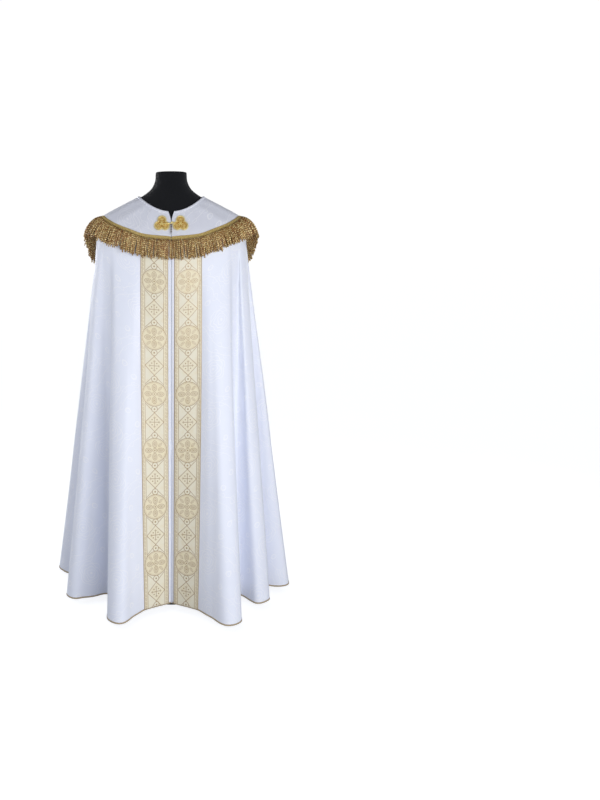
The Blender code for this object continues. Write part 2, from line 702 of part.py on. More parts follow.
def form_ring(ring, turns):
    sine, cosine = np.sin(np.radians(turns)), np.cos(np.radians(turns))
    depth = np.where(cosine > 0, ring.front_depth, ring.back_depth)
    return np.stack([-ring.half_width * sine, AXIS_Y - depth * cosine, np.full_like(sine, ring.z)], axis=-1)


def make_dress_form(material):
    """Neck, shoulders that fill the cape surface, and a torso down to a flat seat."""
    turns = np.linspace(0, 360, FORM_COLUMNS, endpoint=False)
    rows = [form_ring(ring, turns) for ring in FORM_NECK]
    for place in YOKE_ROWS[:2 * SHOULDER + 1]:
        z = cape_row_z(place, turns)
        rows.append(cape_points(turns, z) - cape_normals(turns, z) * FORM_GAP)
    rows += [form_ring(ring, turns) for ring in FORM_BODY]
    knots = chord_knots(np.array(rows)[:, FORM_COLUMNS // 4])
    body = len(rows) - len(FORM_BODY)
    places = list(range(body)) + list(np.arange(body, len(rows) - 0.5, 0.5))
    at = np.interp(places, range(len(rows)), knots)
    columns = [[smooth_value(knots, np.array(rows)[:, i, axis], at) for i in range(FORM_COLUMNS)]
               for axis in range(3)]
    grid = np.moveaxis(np.array(columns), (0, 1, 2), (2, 1, 0))
    count = len(grid) * FORM_COLUMNS
    faces = grid_faces(grid, closed=True)
    faces += triangles(list(range(FORM_COLUMNS))[::-1])
    faces += triangles(list(range(count - FORM_COLUMNS, count)))
    add_mesh("dress_form", grid.reshape(-1, 3), faces, material)


def add_cylinder(name, radius, bottom, top, material):
    mesh = bpy.data.meshes.new(name)
    work = bmesh.new()
    bmesh.ops.create_cone(
        work, cap_ends=True, segments=STAND_SIDES, radius1=radius, radius2=radius, depth=top - bottom
    )
    bmesh.ops.translate(work, verts=work.verts, vec=(0, 0, (top - bottom) / 2))
    work.to_mesh(mesh)
    work.free()
    mesh.shade_smooth()
    mesh.set_sharp_from_angle(angle=math.radians(30))
    add_object(name, mesh, material).location = (0, 0, bottom)


def make_stand(material):
    add_cylinder("stand_base", BASE_RADIUS, 0.0, BASE_THICKNESS, material)
    seat = FORM_BODY[-1].z
    add_cylinder("stand_pole", POLE_RADIUS, BASE_THICKNESS + STAND_GAP, seat - STAND_GAP, material)


# ---- The whole ----------------------------------------------------------------------------------


def main():
    clear_scene()
    damask = make_material("white_damask", (0.80, 0.82, 0.88), 0.55)
    galloon = make_material("galloon", (0.72, 0.62, 0.38), 0.60)
    emblem_cloth = make_material("emblem_cloth", (0.70, 0.58, 0.36), 0.70)
    gold_thread = make_material("gold_thread", (0.58, 0.42, 0.08), 0.45, 0.3)
    fringe_thread = make_material("fringe_thread", (0.42, 0.27, 0.08), 0.60)
    braid = make_material("hem_braid", (0.33, 0.26, 0.20), 0.70)
    gilt = make_material("gilt_metal", (0.80, 0.55, 0.15), 0.30, 1.0)
    jersey = make_material("black_jersey", (0.004, 0.005, 0.008), 0.80)
    stand_metal = make_material("stand_metal", (0.02, 0.02, 0.02), 0.45, 0.5)

    make_mantle(damask)
    make_front_orphreys(galloon)
    make_hem_braid(braid)
    make_hood(damask)
    make_vertical_band(galloon)
    make_side_bands(galloon)
    make_emblem(emblem_cloth, gold_thread)
    make_fringes(fringe_thread)
    make_clasp(gilt)
    make_dress_form(jersey)
    make_stand(stand_metal)


main()
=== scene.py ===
"""The finished look of a cope on its dress form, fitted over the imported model.

Metres, +Z up. The front faces -Y and the wearer's right side is at -X. A "turn" is an angle in
degrees round the garment, seen from above: 0 is the front closure, 90 the wearer's right side and
180 the middle of the back. A grid's rows run down the garment and its columns round it.
"""

import math
from collections import namedtuple
from math import pi, tau

import bmesh
import bpy
import numpy as np
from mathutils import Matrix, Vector


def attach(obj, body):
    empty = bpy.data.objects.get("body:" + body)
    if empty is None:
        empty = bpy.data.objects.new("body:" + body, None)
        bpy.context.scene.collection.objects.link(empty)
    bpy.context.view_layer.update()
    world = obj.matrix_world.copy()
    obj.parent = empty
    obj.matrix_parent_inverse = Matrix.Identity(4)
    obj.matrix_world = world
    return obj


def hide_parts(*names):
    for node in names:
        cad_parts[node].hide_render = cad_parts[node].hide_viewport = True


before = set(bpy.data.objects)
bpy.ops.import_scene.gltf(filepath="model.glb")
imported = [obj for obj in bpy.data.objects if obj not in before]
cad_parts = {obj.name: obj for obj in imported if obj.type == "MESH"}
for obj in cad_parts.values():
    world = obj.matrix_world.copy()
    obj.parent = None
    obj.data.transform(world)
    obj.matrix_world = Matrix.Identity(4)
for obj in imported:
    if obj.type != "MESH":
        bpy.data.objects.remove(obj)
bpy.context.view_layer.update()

# ---- The garment's dimensions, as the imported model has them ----

AXIS_Y = -0.04  # the cape's upright axis
HEM_Z = 0.02
GALLOON_WIDTH = 0.094
HOOD_GALLOON_WIDTH = 0.092
FRONT_MARGIN = 0.01
HEADER_WIDTH = 0.012
STRAND_DROP = 0.066
BRAID_WIDTH = 0.006

MANTLE_THICKNESS = 0.0015
TRIM_LIFT = 0.0016  # trims lie right on the cloth below them
TRIM_THICKNESS = 0.0012
HOOD_LIFT = 0.0029
HOOD_THICKNESS = 0.0018
HOOD_TRIM_LIFT = 0.0048
EMBLEM_LIFT = 0.0062
EMBLEM_THICKNESS = 0.002
RAISED_LIFT = 0.008
HEADER_LIFT = 0.0053
STRAND_TIP_LIFT = 0.0083
HEADER_FLARE = 0.006
STRAND_FLARE = 0.034
FORM_GAP = 0.001

CapeRing = namedtuple("CapeRing", "z_front z_side z_back half_width front_depth back_depth")
CAPE_RINGS = (  # neckline, neck slope, shoulder, upper arm, hood point
    CapeRing(1.346, 1.4, 1.392, 0.112, 0.088, 0.07),
    CapeRing(1.304, 1.366, 1.345, 0.178, 0.111, 0.112),
    CapeRing(1.262, 1.33, 1.275, 0.241, 0.132, 0.152),
    CapeRing(1.195, 1.262, 1.19, 0.263, 0.147, 0.182),
    CapeRing(0.88, 0.88, 0.88, 0.312, 0.203, 0.25),
)
UPPER_ARM = 3  # the oval from which the mantle falls free
CLOSURE_HALF_GAP = 0.0004
NECK_HALF_GAP = 0.01
# The upper edge of the fringe's heading: its turns and its heights there.
HEADING_TURNS = (0, 25, 37, 49, 64, 80, 90, 99, 106, 113, 122, 132, 145, 160, 172, 180)
HEADING_HEIGHTS = (1.26, 1.272, 1.287, 1.301, 1.318, 1.33, 1.327, 1.308, 1.281, 1.249, 1.207,
                   1.16, 1.092, 1.023, 0.979, 0.963)

HemPoint = namedtuple("HemPoint", "turn x y width")
# Ridges and valleys at the hem, from the right orphrey round the back.
HEM_POINTS = [HemPoint(*row) for row in (
    (20, -0.082, -0.168, 0.02), (38, -0.184, -0.25, 0.052), (58, -0.206, -0.075, 0.05),
    (74, -0.347, -0.075, 0.052), (89, -0.322, 0.06, 0.045), (103, -0.412, 0.172, 0.055),
    (118, -0.3, 0.222, 0.045), (132, -0.306, 0.34, 0.065), (146, -0.206, 0.285, 0.05),
    (161, -0.126, 0.388, 0.085), (176, -0.012, 0.282, 0.055), (193, 0.104, 0.39, 0.09),
    (210, 0.198, 0.283, 0.05), (226, 0.31, 0.33, 0.065), (244, 0.312, 0.178, 0.05),
    (262, 0.414, 0.04, 0.06), (276, 0.298, -0.015, 0.045), (288, 0.312, -0.112, 0.06),
    (302, 0.216, -0.082, 0.045), (322, 0.203, -0.262, 0.056), (340, 0.082, -0.168, 0.02),
)]
HEM_FRONT_Y = -0.122

EMBLEM_Z = 1.187  # middle of the emblem and of the hood's level band
EMBLEM_SQUARE = 0.0755  # half the square between the four lobes
EMBLEM_LOBE = 0.046
EMBLEM_BORDER = 0.006
CLASP_Z = 1.303
CLASP_OFFSET = 0.0315
CHAIN_DROP = 0.036

FormRing = namedtuple("FormRing", "z half_width front_depth back_depth")
FORM_NECK = [FormRing(*row) for row in (
    (1.49, 0.052, 0.053, 0.05), (1.487, 0.0545, 0.0555, 0.0525), (1.46, 0.057, 0.058, 0.054),
    (1.43, 0.071, 0.067, 0.059),
)]
FORM_BODY = [FormRing(*row) for row in (
    (1.235, 0.226, 0.116, 0.138), (1.15, 0.196, 0.118, 0.132), (0.96, 0.16, 0.092, 0.106),
    (0.82, 0.182, 0.102, 0.132), (0.75, 0.174, 0.098, 0.128),
)]
POLE_RADIUS = 0.016
BASE_RADIUS = 0.135
BASE_THICKNESS = 0.012

# ---- Soft creases of the mantle between its main folds ----
# Shares run along the hem from the right front edge. A crease starts at a share of the way down from
# the upper arm, and its height is positive where the cloth swells out.

Crease = namedtuple("Crease", "top_share hem_share start height width")
CREASES = [Crease(*row) for row in (
    (0.06, 0.046, 0.02, -0.004, 0.026), (0.085, 0.096, 0.22, 0.006, 0.034),
    (0.108, 0.108, 0.4, -0.0045, 0.024), (0.132, 0.146, 0.1, 0.0055, 0.03),
    (0.155, 0.158, 0.5, -0.004, 0.02), (0.176, 0.19, 0.15, -0.006, 0.03),
    (0.205, 0.203, 0.45, 0.0045, 0.022), (0.228, 0.24, 0.08, 0.0065, 0.036),
    (0.262, 0.251, 0.55, -0.004, 0.022), (0.28, 0.286, 0.2, -0.006, 0.03),
    (0.318, 0.322, 0.12, 0.006, 0.034), (0.342, 0.334, 0.5, -0.0045, 0.022),
    (0.366, 0.372, 0.18, 0.005, 0.028), (0.402, 0.408, 0.35, -0.005, 0.028),
    (0.428, 0.424, 0.52, 0.004, 0.024), (0.452, 0.462, 0.16, -0.0055, 0.034),
    (0.474, 0.478, 0.44, 0.005, 0.026), (0.515, 0.512, 0.3, 0.0055, 0.03),
    (0.536, 0.531, 0.14, -0.005, 0.03), (0.566, 0.572, 0.42, -0.0055, 0.028),
    (0.59, 0.584, 0.58, 0.004, 0.022), (0.618, 0.622, 0.2, 0.006, 0.032),
    (0.652, 0.656, 0.46, -0.005, 0.026), (0.676, 0.672, 0.12, 0.0055, 0.03),
    (0.706, 0.712, 0.34, -0.006, 0.034), (0.732, 0.727, 0.56, 0.0045, 0.022),
    (0.756, 0.763, 0.16, 0.006, 0.03), (0.78, 0.776, 0.48, -0.004, 0.022),
    (0.806, 0.808, 0.24, 0.0055, 0.028), (0.83, 0.839, 0.5, -0.0045, 0.022),
    (0.852, 0.851, 0.14, -0.0055, 0.028), (0.88, 0.889, 0.36, 0.0055, 0.03),
    (0.905, 0.903, 0.18, -0.005, 0.028), (0.938, 0.95, 0.04, -0.004, 0.026),
)]
CREASE_RISE = 0.35  # share of the drape over which a crease grows to its full height
CREASE_TOP_WIDTH = 0.45  # share of its width that a crease has at the upper arm

# Soft pulls in the hood, from the neckline out over the shoulders: where they start and end.
Pull = namedtuple("Pull", "neck_turn edge_turn height width")
PULLS = [Pull(*row) for row in (
    (30, 24, 0.0016, 5.0), (46, 52, 0.0022, 6.0), (66, 72, 0.0018, 5.5), (104, 112, 0.002, 5.0),
    (122, 133, 0.0022, 6.0), (142, 149, 0.0014, 4.5), (217, 210, 0.0015, 4.5), (236, 226, 0.0023, 6.5),
    (255, 247, 0.0018, 5.0), (292, 287, 0.002, 6.0), (314, 309, 0.0024, 6.0), (331, 338, 0.0015, 5.0),
)]
PULL_RISE, PULL_FALL = 0.25, 0.22  # shares of the way down over which a pull comes and goes

# ---- How finely the surfaces are divided ----

YOKE_ROWS, DRAPE_ROWS = 26, 84
ORPHREY_START = 2.3  # the oval, between two, at which the orphreys come from under the hood
STRIP_COLUMNS = 16  # across an orphrey
MAIN_COLUMNS = 300  # across the rest of the mantle
HOOD_COLUMNS, HOOD_ROWS = 300, 56
HOOD_ROW_SPREAD = 1.3
COLUMN_EASE = 0.25  # share of the drape over which the columns turn into its folds
BRAID_SHARE = 1 - BRAID_WIDTH / (CAPE_RINGS[UPPER_ARM].z_front - HEM_Z)
CURVE_POINTS = 1441
MERGE_DISTANCE = 2e-6
TURN_ROUNDS, EDGE_ROUNDS = 8, 3  # rounds of closing in on a turn and on the hood's front edge
SAME_PLACE = 1e-9


# ---- Node trees written as sums ----


class Number:
    """A number that a node gives. A sum written with it adds Math nodes to its tree."""

    def __init__(self, tree, socket):
        self.tree = tree
        self.socket = socket

    def __add__(self, other):
        return self.tree.math("ADD", self, other)

    __radd__ = __add__

    def __sub__(self, other):
        return self.tree.math("SUBTRACT", self, other)

    def __rsub__(self, other):
        return self.tree.math("SUBTRACT", other, self)

    def __mul__(self, other):
        return self.tree.math("MULTIPLY", self, other)

    __rmul__ = __mul__

    def __truediv__(self, other):
        return self.tree.math("DIVIDE", self, other)

    def __abs__(self):
        return self.tree.math("ABSOLUTE", self)


class Tree:
    """A shader's or a Geometry Nodes tree that nodes are added to."""

    def __init__(self, tree):
        self.tree = tree

    def add(self, kind, settings=None, inputs=None, output=0):
        """Add a node: its settings first, then the values or links of its sockets. Gives one output."""
        node = self.tree.nodes.new(kind)
        for name, setting in (settings or {}).items():
            setattr(node, name, setting)
        for socket, value in (inputs or {}).items():
            if isinstance(value, Number):
                self.tree.links.new(value.socket, node.inputs[socket])
            else:
                node.inputs[socket].default_value = value
        return Number(self, node.outputs[output])

    def math(self, operation, *numbers):
        """One Math node on these numbers."""
        return self.add("ShaderNodeMath", {"operation": operation}, dict(enumerate(numbers)))

    def smaller(self, one, other):
        """The smaller of two numbers."""
        return self.math("MINIMUM", one, other)

    def larger(self, one, *others):
        """The largest of these numbers."""
        for other in others:
            one = self.math("MAXIMUM", one, other)
        return one

    def length(self, x, y):
        """How far a place is from the origin of x and y."""
        return self.math("SQRT", x * x + y * y)

    def fade(self, number, start, end):
        """0 where the number is at start and 1 where it is at end, smoothly between them."""
        inputs = {0: number, 1: start, 2: end}
        return self.add("ShaderNodeMapRange", {"interpolation_type": "SMOOTHSTEP"}, inputs)

    def inside(self, distance, edge, blur=0.0003):
        """1 where the distance is less than the edge, and 0 past it."""
        return self.fade(distance, edge + blur, edge - blur)

    def line(self, distance, width):
        """1 on a drawn line of this width, where the distance from it is 0."""
        return self.inside(abs(distance), width / 2)

    def repeat(self, number, step):
        """The number measured from the middle of each step: it runs from -step/2 to step/2."""
        return (self.math("FRACT", number / step) - 0.5) * step

    def wave(self, number, step):
        """A wave over the number, one in each step: it runs from -1 to 1."""
        return self.math("SINE", number * (tau / step))

    def ribs(self, number, step):
        """Ribs over the number, one in each step: 0 in their hollows and 1 on their crests."""
        return self.wave(number, step) * 0.5 + 0.5

    def blend(self, factor, one, other):
        """A colour between two colours."""
        inputs = {0: factor, 6: one, 7: other}
        return self.add("ShaderNodeMix", {"data_type": "RGBA"}, inputs, output=2)

    def dyed(self, factor, one, other):
        """A colour between two that are given as they look on a screen."""
        return self.blend(factor, dye(*one), dye(*other))

    def noise(self, place, scale, detail=2.0, roughness=0.5):
        """Soft chance values round 0.5, with about this many patches to the metre."""
        inputs = {"Vector": place, "Scale": scale, "Detail": detail, "Roughness": roughness}
        return self.add("ShaderNodeTexNoise", None, inputs)

    def place(self, x, y):
        """A place for a pattern from two distances."""
        return self.add("ShaderNodeCombineXYZ", None, {0: x, 1: y})

    def place_on_piece(self):
        """The place in the piece's own Object coordinates."""
        return self.add("ShaderNodeTexCoord", output=3)

    def separate(self, vector):
        """The three numbers of a vector."""
        node = self.tree.nodes.new("ShaderNodeSeparateXYZ")
        self.tree.links.new(vector.socket, node.inputs[0])
        return [Number(self, socket) for socket in node.outputs]


def dye(red, green, blue):
    """A colour for a shader from its three shares as they look on a screen, 0 to 255."""
    shares = np.array([red, green, blue]) / 255
    # The usual curve between a screen's shares and light.
    linear = np.where(shares < 0.04045, shares / 12.92, ((shares + 0.055) / 1.055) ** 2.4)
    return (*linear.tolist(), 1.0)


class Finish(Tree):
    """A material's tree, with the qualities that don't vary set at its start."""

    def __init__(self, name, **fixed):
        self.material = bpy.data.materials.new(name)
        self.material.use_nodes = True
        super().__init__(self.material.node_tree)
        self.shader = self.tree.nodes["Principled BSDF"]
        for quality, amount in fixed.items():
            socket = quality.replace("_", " ").title().replace("Ior", "IOR")
            self.shader.inputs[socket].default_value = amount

    def surface_map(self):
        """The two distances of a piece's own map, in metres: along it or round it, and down it."""
        place = self.add("ShaderNodeUVMap", {"uv_map": "cut"})
        across, down, _ = self.separate(place)
        return place, across, down

    def paint(self, colour, roughness=None, metallic=None, height=None, depth=0.0002):
        """Link what varies to the shader. Height is relief, 1 for a depth in metres."""
        qualities = {"Base Color": colour, "Roughness": roughness, "Metallic": metallic}
        for quality, varied in qualities.items():
            if isinstance(varied, Number):
                self.tree.links.new(varied.socket, self.shader.inputs[quality])
            elif varied is not None:
                self.shader.inputs[quality].default_value = varied
        if height is not None:
            relief = {"Height": height, "Distance": depth, "Strength": 1.0}
            bump = self.add("ShaderNodeBump", None, relief)
            self.tree.links.new(bump.socket, self.shader.inputs["Normal"])
        return self.material


# ---- Curves ----


def smooth_value(knots, values, at):
    """A smooth curve through values at rising knots, read at the places in at.

    Each place may have its own column of knots and of values."""
    # Cubic steps between the knots, with the slopes of the parabolas through three knots each.
    at = np.asarray(at, float)
    knots = np.broadcast_to(np.asarray(knots, float).reshape(len(knots), -1), (len(knots), at.size))
    values = np.broadcast_to(np.asarray(values, float).reshape(len(knots), -1), knots.shape)
    steps = np.diff(knots, axis=0)
    rises = np.diff(values, axis=0) / steps
    inner = (steps[1:] * rises[:-1] + steps[:-1] * rises[1:]) / (steps[1:] + steps[:-1])
    slopes = np.concatenate([rises[:1], inner, rises[-1:]])
    place = np.clip(at.ravel(), knots[0], knots[-1])
    below = np.clip((knots <= place).sum(axis=0) - 1, 0, len(knots) - 2)
    column = np.arange(at.size)
    step = knots[below + 1, column] - knots[below, column]
    share = (place - knots[below, column]) / step
    square, cube = share**2, share**3
    made = (
        (2 * cube - 3 * square + 1) * values[below, column]
        + (cube - 2 * square + share) * step * slopes[below, column]
        + (3 * square - 2 * cube) * values[below + 1, column]
        + (cube - square) * step * slopes[below + 1, column]
    )
    return made.reshape(at.shape)


def chord_knots(points):
    """Knots for a smooth curve through points: running sums of the square roots of the chords."""
    chords = np.linalg.norm(np.diff(points, axis=0), axis=-1)
    return np.concatenate([[0.0], np.cumsum(np.sqrt(chords))])


def smooth_curve(points, count):
    """A smooth curve through a few points, as many points as count."""
    points = np.array(points, float)
    knots = chord_knots(points)
    at = np.linspace(0, knots[-1], count)
    return np.stack([smooth_value(knots, axis, at) for axis in points.T], axis=-1)


def running_length(curve):
    """Each point's distance along a curve."""
    steps = np.linalg.norm(np.diff(curve, axis=0), axis=-1)
    return np.concatenate([[0.0], np.cumsum(steps)])


def read_curve(lengths, curve, at):
    """Places on a curve at these distances along it."""
    return np.stack([np.interp(at, lengths, values) for values in curve.T], axis=-1)


def circle(angles):
    """Flat places on a circle of radius 1 round the origin."""
    return np.stack([np.cos(angles), np.sin(angles)], axis=-1)


def ease(share):
    """0 to 1 with level ends."""
    share = np.clip(share, 0, 1)
    return share * share * (3 - 2 * share)


def unit(vectors):
    """The same directions, each one long."""
    return vectors / np.linalg.norm(vectors, axis=-1, keepdims=True)


def outward_normals(grid):
    """Directions square to a grid, out of the garment."""
    return unit(np.cross(np.gradient(grid, axis=1), np.gradient(grid, axis=0)))


# ---- The cape surface ----


def cape_columns(turn):
    """Height, half width and depth of every cape oval at these turns, from the lowest oval up."""
    sine, cosine = np.sin(np.radians(turn)), np.cos(np.radians(turn))
    heights, widths, depths = [], [], []
    for ring in CAPE_RINGS[::-1]:
        middle_z = np.where(cosine > 0, ring.z_front, ring.z_back)
        heights.append(ring.z_side * sine**2 + middle_z * cosine**2)
        widths.append(ring.half_width + 0 * sine)
        depths.append(np.where(cosine > 0, ring.front_depth, ring.back_depth))
    return np.array(heights), np.array(widths), np.array(depths)


def cape_points(turn, z):
    """Points of the cape surface at these turns and heights."""
    turn, z = np.broadcast_arrays(np.asarray(turn, float), np.asarray(z, float))
    shape = turn.shape
    turn, z = turn.ravel(), z.ravel()
    heights, widths, depths = cape_columns(turn)
    x = -smooth_value(heights, widths, z) * np.sin(np.radians(turn))
    y = AXIS_Y - smooth_value(heights, depths, z) * np.cos(np.radians(turn))
    return np.stack([x, y, z], axis=-1).reshape(*shape, 3)


def cape_normals(turn, z):
    """Outward unit normals of the cape surface at these turns and heights."""
    small_turn, small_z = 0.2, 0.0005
    along = cape_points(turn + small_turn, z) - cape_points(turn - small_turn, z)
    down = cape_points(turn, z - small_z) - cape_points(turn, z + small_z)
    return unit(np.cross(along, down))


def cape_row_z(place, turn):
    """Height at these turns of the row at a place between the cape's ovals, 0 at the neckline."""
    heights = cape_columns(turn)[0][::-1]
    upper = min(int(place), len(CAPE_RINGS) - 2)
    return heights[upper] + (heights[upper + 1] - heights[upper]) * (place - upper)


def edge_turn(z):
    """The turn of the right front edge at these heights: the closure's gap widens at the neck."""
    heights, widths, _ = cape_columns(np.array([0.0]))
    neck, slope = heights[-1, 0], heights[-2, 0]
    share = np.clip((z - slope) / (neck - slope), 0, 1)
    gap = CLOSURE_HALF_GAP + (NECK_HALF_GAP - CLOSURE_HALF_GAP) * share**2
    return np.degrees(np.arcsin(gap / smooth_value(heights, widths, z)))


def turn_at(x, z, facing):
    """The turn of the cape's point with this x and height, in front (facing 0) or behind (180)."""
    side = math.cos(math.radians(facing))
    turn = np.full(np.shape(x), float(facing))
    for _ in range(TURN_ROUNDS):
        heights, widths, _ = cape_columns(turn.ravel())
        width = smooth_value(heights, widths, np.ravel(z)).reshape(turn.shape)
        turn = facing - side * np.degrees(np.arcsin(np.clip(x / width, -1, 1)))
    return turn


def heading_z(turn):
    """Height of the upper edge of the fringe's heading at these turns."""
    folded = np.where(np.asarray(turn) > 180, 360 - np.asarray(turn), turn)
    return smooth_value(HEADING_TURNS, HEADING_HEIGHTS, folded)


def hood_edge_z(turn):
    """Height of the hood's edge, HEADER_WIDTH square to the heading's upper edge."""
    small_turn, small_z = 0.5, 0.002
    turn = np.clip(turn, small_turn, 360 - small_turn)
    z = heading_z(turn)
    ahead, behind = turn + small_turn, turn - small_turn
    along = unit(cape_points(ahead, heading_z(ahead)) - cape_points(behind, heading_z(behind)))
    up = (cape_points(turn, z + small_z) - cape_points(turn, z)) / small_z
    across = up - along * (up * along).sum(axis=-1, keepdims=True)
    return z - HEADER_WIDTH / np.linalg.norm(across, axis=-1)


def hood_swell(turn, z):
    """How far the hood's soft pulls stand out at these turns and heights."""
    turn, z = np.broadcast_arrays(np.asarray(turn, float), np.asarray(z, float))
    top = cape_row_z(0, turn.ravel()).reshape(turn.shape)
    edge = hood_edge_z(turn.ravel()).reshape(turn.shape)
    down = np.clip((top - z) / (top - edge), 0, 1)
    swell = np.zeros_like(turn)
    for pull in PULLS:
        middle = pull.neck_turn + (pull.edge_turn - pull.neck_turn) * down
        rise = ease(down / PULL_RISE) * ease((1 - down) / PULL_FALL)
        swell += pull.height * rise * np.exp(-((turn - middle) / pull.width) ** 2)
    return swell


def on_hood(turn, z, lift):
    """Points this far outside the cape surface, swelled with the hood's pulls."""
    lift = np.asarray(lift + hood_swell(turn, z))
    return cape_points(turn, z) + cape_normals(turn, z) * lift[..., None]


def on_back(x, z, lift):
    """Points on the back of the hood by their x and height."""
    return on_hood(turn_at(x, z, 180), z, lift)


def on_front(x, z, lift):
    """Points on the front of the hood by their x and height."""
    return on_hood(turn_at(x, z, 0), z, lift)


# ---- The mantle's rows ----


def hem_curve():
    """The hem seen from above as a fine curve, and the turns that its points hang from."""
    start = edge_turn(np.array([CAPE_RINGS[UPPER_ARM].z_front]))[0]
    row = [HemPoint(start, -CLOSURE_HALF_GAP, HEM_FRONT_Y, 0.0), *HEM_POINTS,
           HemPoint(360 - start, CLOSURE_HALF_GAP, HEM_FRONT_Y, 0.0)]
    points, turns = [(row[0].x, row[0].y)], [row[0].turn]
    for before, point, after in zip(row, row[1:], row[2:]):
        span = np.array([after.x - before.x, after.y - before.y])
        half = point.width / 2 / np.linalg.norm(span)
        for side in (-half, half):
            points.append((point.x + side * span[0], point.y + side * span[1]))
            turns.append(point.turn + side * (after.turn - before.turn))
    points = np.array(points + [(row[-1].x, row[-1].y)])
    turns.append(row[-1].turn)
    knots = chord_knots(points)
    at = np.linspace(0, knots[-1], CURVE_POINTS)
    x, y = (smooth_value(knots, points[:, axis], at) for axis in (0, 1))
    curve = np.stack([x, y + AXIS_Y, np.full_like(x, HEM_Z)], axis=-1)
    return curve, smooth_value(knots, turns, at)


def column_lengths(total):
    """Distances along a row from the right front edge: an orphrey's columns, the rest, the other's."""
    strip = FRONT_MARGIN + np.linspace(0, GALLOON_WIDTH, STRIP_COLUMNS + 1)
    strip = np.concatenate([[0.0, FRONT_MARGIN / 2], strip])
    main = np.linspace(strip[-1], total - strip[-1], MAIN_COLUMNS + 1)[1:-1]
    return np.concatenate([strip, main, total - strip[::-1]])


def yoke_row(place):
    """One row of the mantle where it lies on the cape surface."""
    start = edge_turn(cape_row_z(place, np.array([0.0])))[0]
    turns = np.linspace(start, 360 - start, CURVE_POINTS)
    curve = cape_points(turns, cape_row_z(place, turns))
    lengths = running_length(curve)
    return read_curve(lengths, curve, column_lengths(lengths[-1]))


def drape_row(share, hem, top):
    """One row of the mantle below the upper arm, a share of the way to the hem."""
    curve = top + (hem - top) * share
    lengths = running_length(curve)
    strip = FRONT_MARGIN + GALLOON_WIDTH
    hem_lengths = running_length(hem)
    columns = column_lengths(hem_lengths[-1])
    even = column_lengths(lengths[-1])
    # Between the orphreys each column keeps its own line of drape from the oval to the hem.
    share_along = (columns - strip) / (hem_lengths[-1] - 2 * strip)
    own = (hem_lengths - strip) / (hem_lengths[-1] - 2 * strip)
    drape = np.interp(share_along, own, lengths)
    low, high = np.interp([0, 1], own, lengths)
    main = strip + (drape - low) * (lengths[-1] - 2 * strip) / (high - low)
    main = even + (main - even) * ease(share / COLUMN_EASE)
    outer = (share_along < 0) | (share_along > 1)
    return read_curve(lengths, curve, np.where(outer, even, main))


def drape_shares():
    """Shares of the way down the drape of its rows, with one more at the braid's upper edge."""
    shares = np.linspace(0, 1, DRAPE_ROWS + 1)
    return np.sort(np.append(shares, BRAID_SHARE))


def mantle_grid():
    """The mantle's inner face: the yoke's rows, then the drape's with their soft creases."""
    yoke = [yoke_row(place) for place in np.linspace(0, UPPER_ARM, YOKE_ROWS, endpoint=False)]
    hem, turns = hem_curve()
    top = cape_points(turns, cape_row_z(UPPER_ARM, turns))
    shares = drape_shares()
    drape = [drape_row(share, hem, top) for share in shares]
    grid = np.array(yoke + drape)
    down = np.concatenate([np.zeros(len(yoke)), shares])[:, None]
    return grid + outward_normals(grid) * crease_heights(grid, down)[..., None]


def crease_heights(grid, down):
    """How far the cloth swells out or sinks at each point of the mantle."""
    across = running_length(np.swapaxes(grid, 0, 1)[:, -1])
    across = across / across[-1]
    widths = np.linalg.norm(np.diff(grid, axis=1), axis=2).sum(axis=1)[:, None]
    heights = np.zeros(grid.shape[:2])
    for crease in CREASES:
        middle = crease.top_share + (crease.hem_share - crease.top_share) * down
        width = crease.width * (CREASE_TOP_WIDTH + (1 - CREASE_TOP_WIDTH) * down)
        rise = ease((down - crease.start) / CREASE_RISE)
        heights += crease.height * rise * np.exp(-((across - middle) * widths / width) ** 2)
    margin = (FRONT_MARGIN + 0.35 * GALLOON_WIDTH) / widths
    return heights * ease(across / margin) * ease((1 - across) / margin)


def lengths_along(grid):
    """Distances along every row of a grid from its first column."""
    along = np.linalg.norm(np.diff(grid, axis=1), axis=2).cumsum(axis=1)
    return np.concatenate([np.zeros((len(grid), 1)), along], axis=1)


def pair_up(across, along):
    """A piece's own map from two distances."""
    return np.stack(np.broadcast_arrays(across, along), axis=-1)


def cut_map(grid, neck_radius):
    """Each point's place on the flat cloth, in metres: the rows open out round the neck."""
    down = np.linalg.norm(np.diff(grid, axis=0), axis=2).cumsum(axis=0)
    radius = neck_radius + np.concatenate([np.zeros((1, grid.shape[1])), down])
    along = lengths_along(grid)
    angle = (along - along[:, -1:] / 2) / radius.mean(axis=1, keepdims=True)
    return np.stack([radius * np.sin(angle), radius * np.cos(angle)], axis=-1)


def strip_map(grid):
    """Distances round and down a narrow grid, in metres; the first is 0 at its middle column."""
    middle = grid.shape[1] // 2
    along = lengths_along(grid)
    return pair_up(along - along[:, middle:middle + 1], running_length(grid[:, middle])[:, None])


# ---- Meshes from grids ----


def new_object(name, data):
    """One object in the scene."""
    obj = bpy.data.objects.new(name, data)
    bpy.context.scene.collection.objects.link(obj)
    return obj


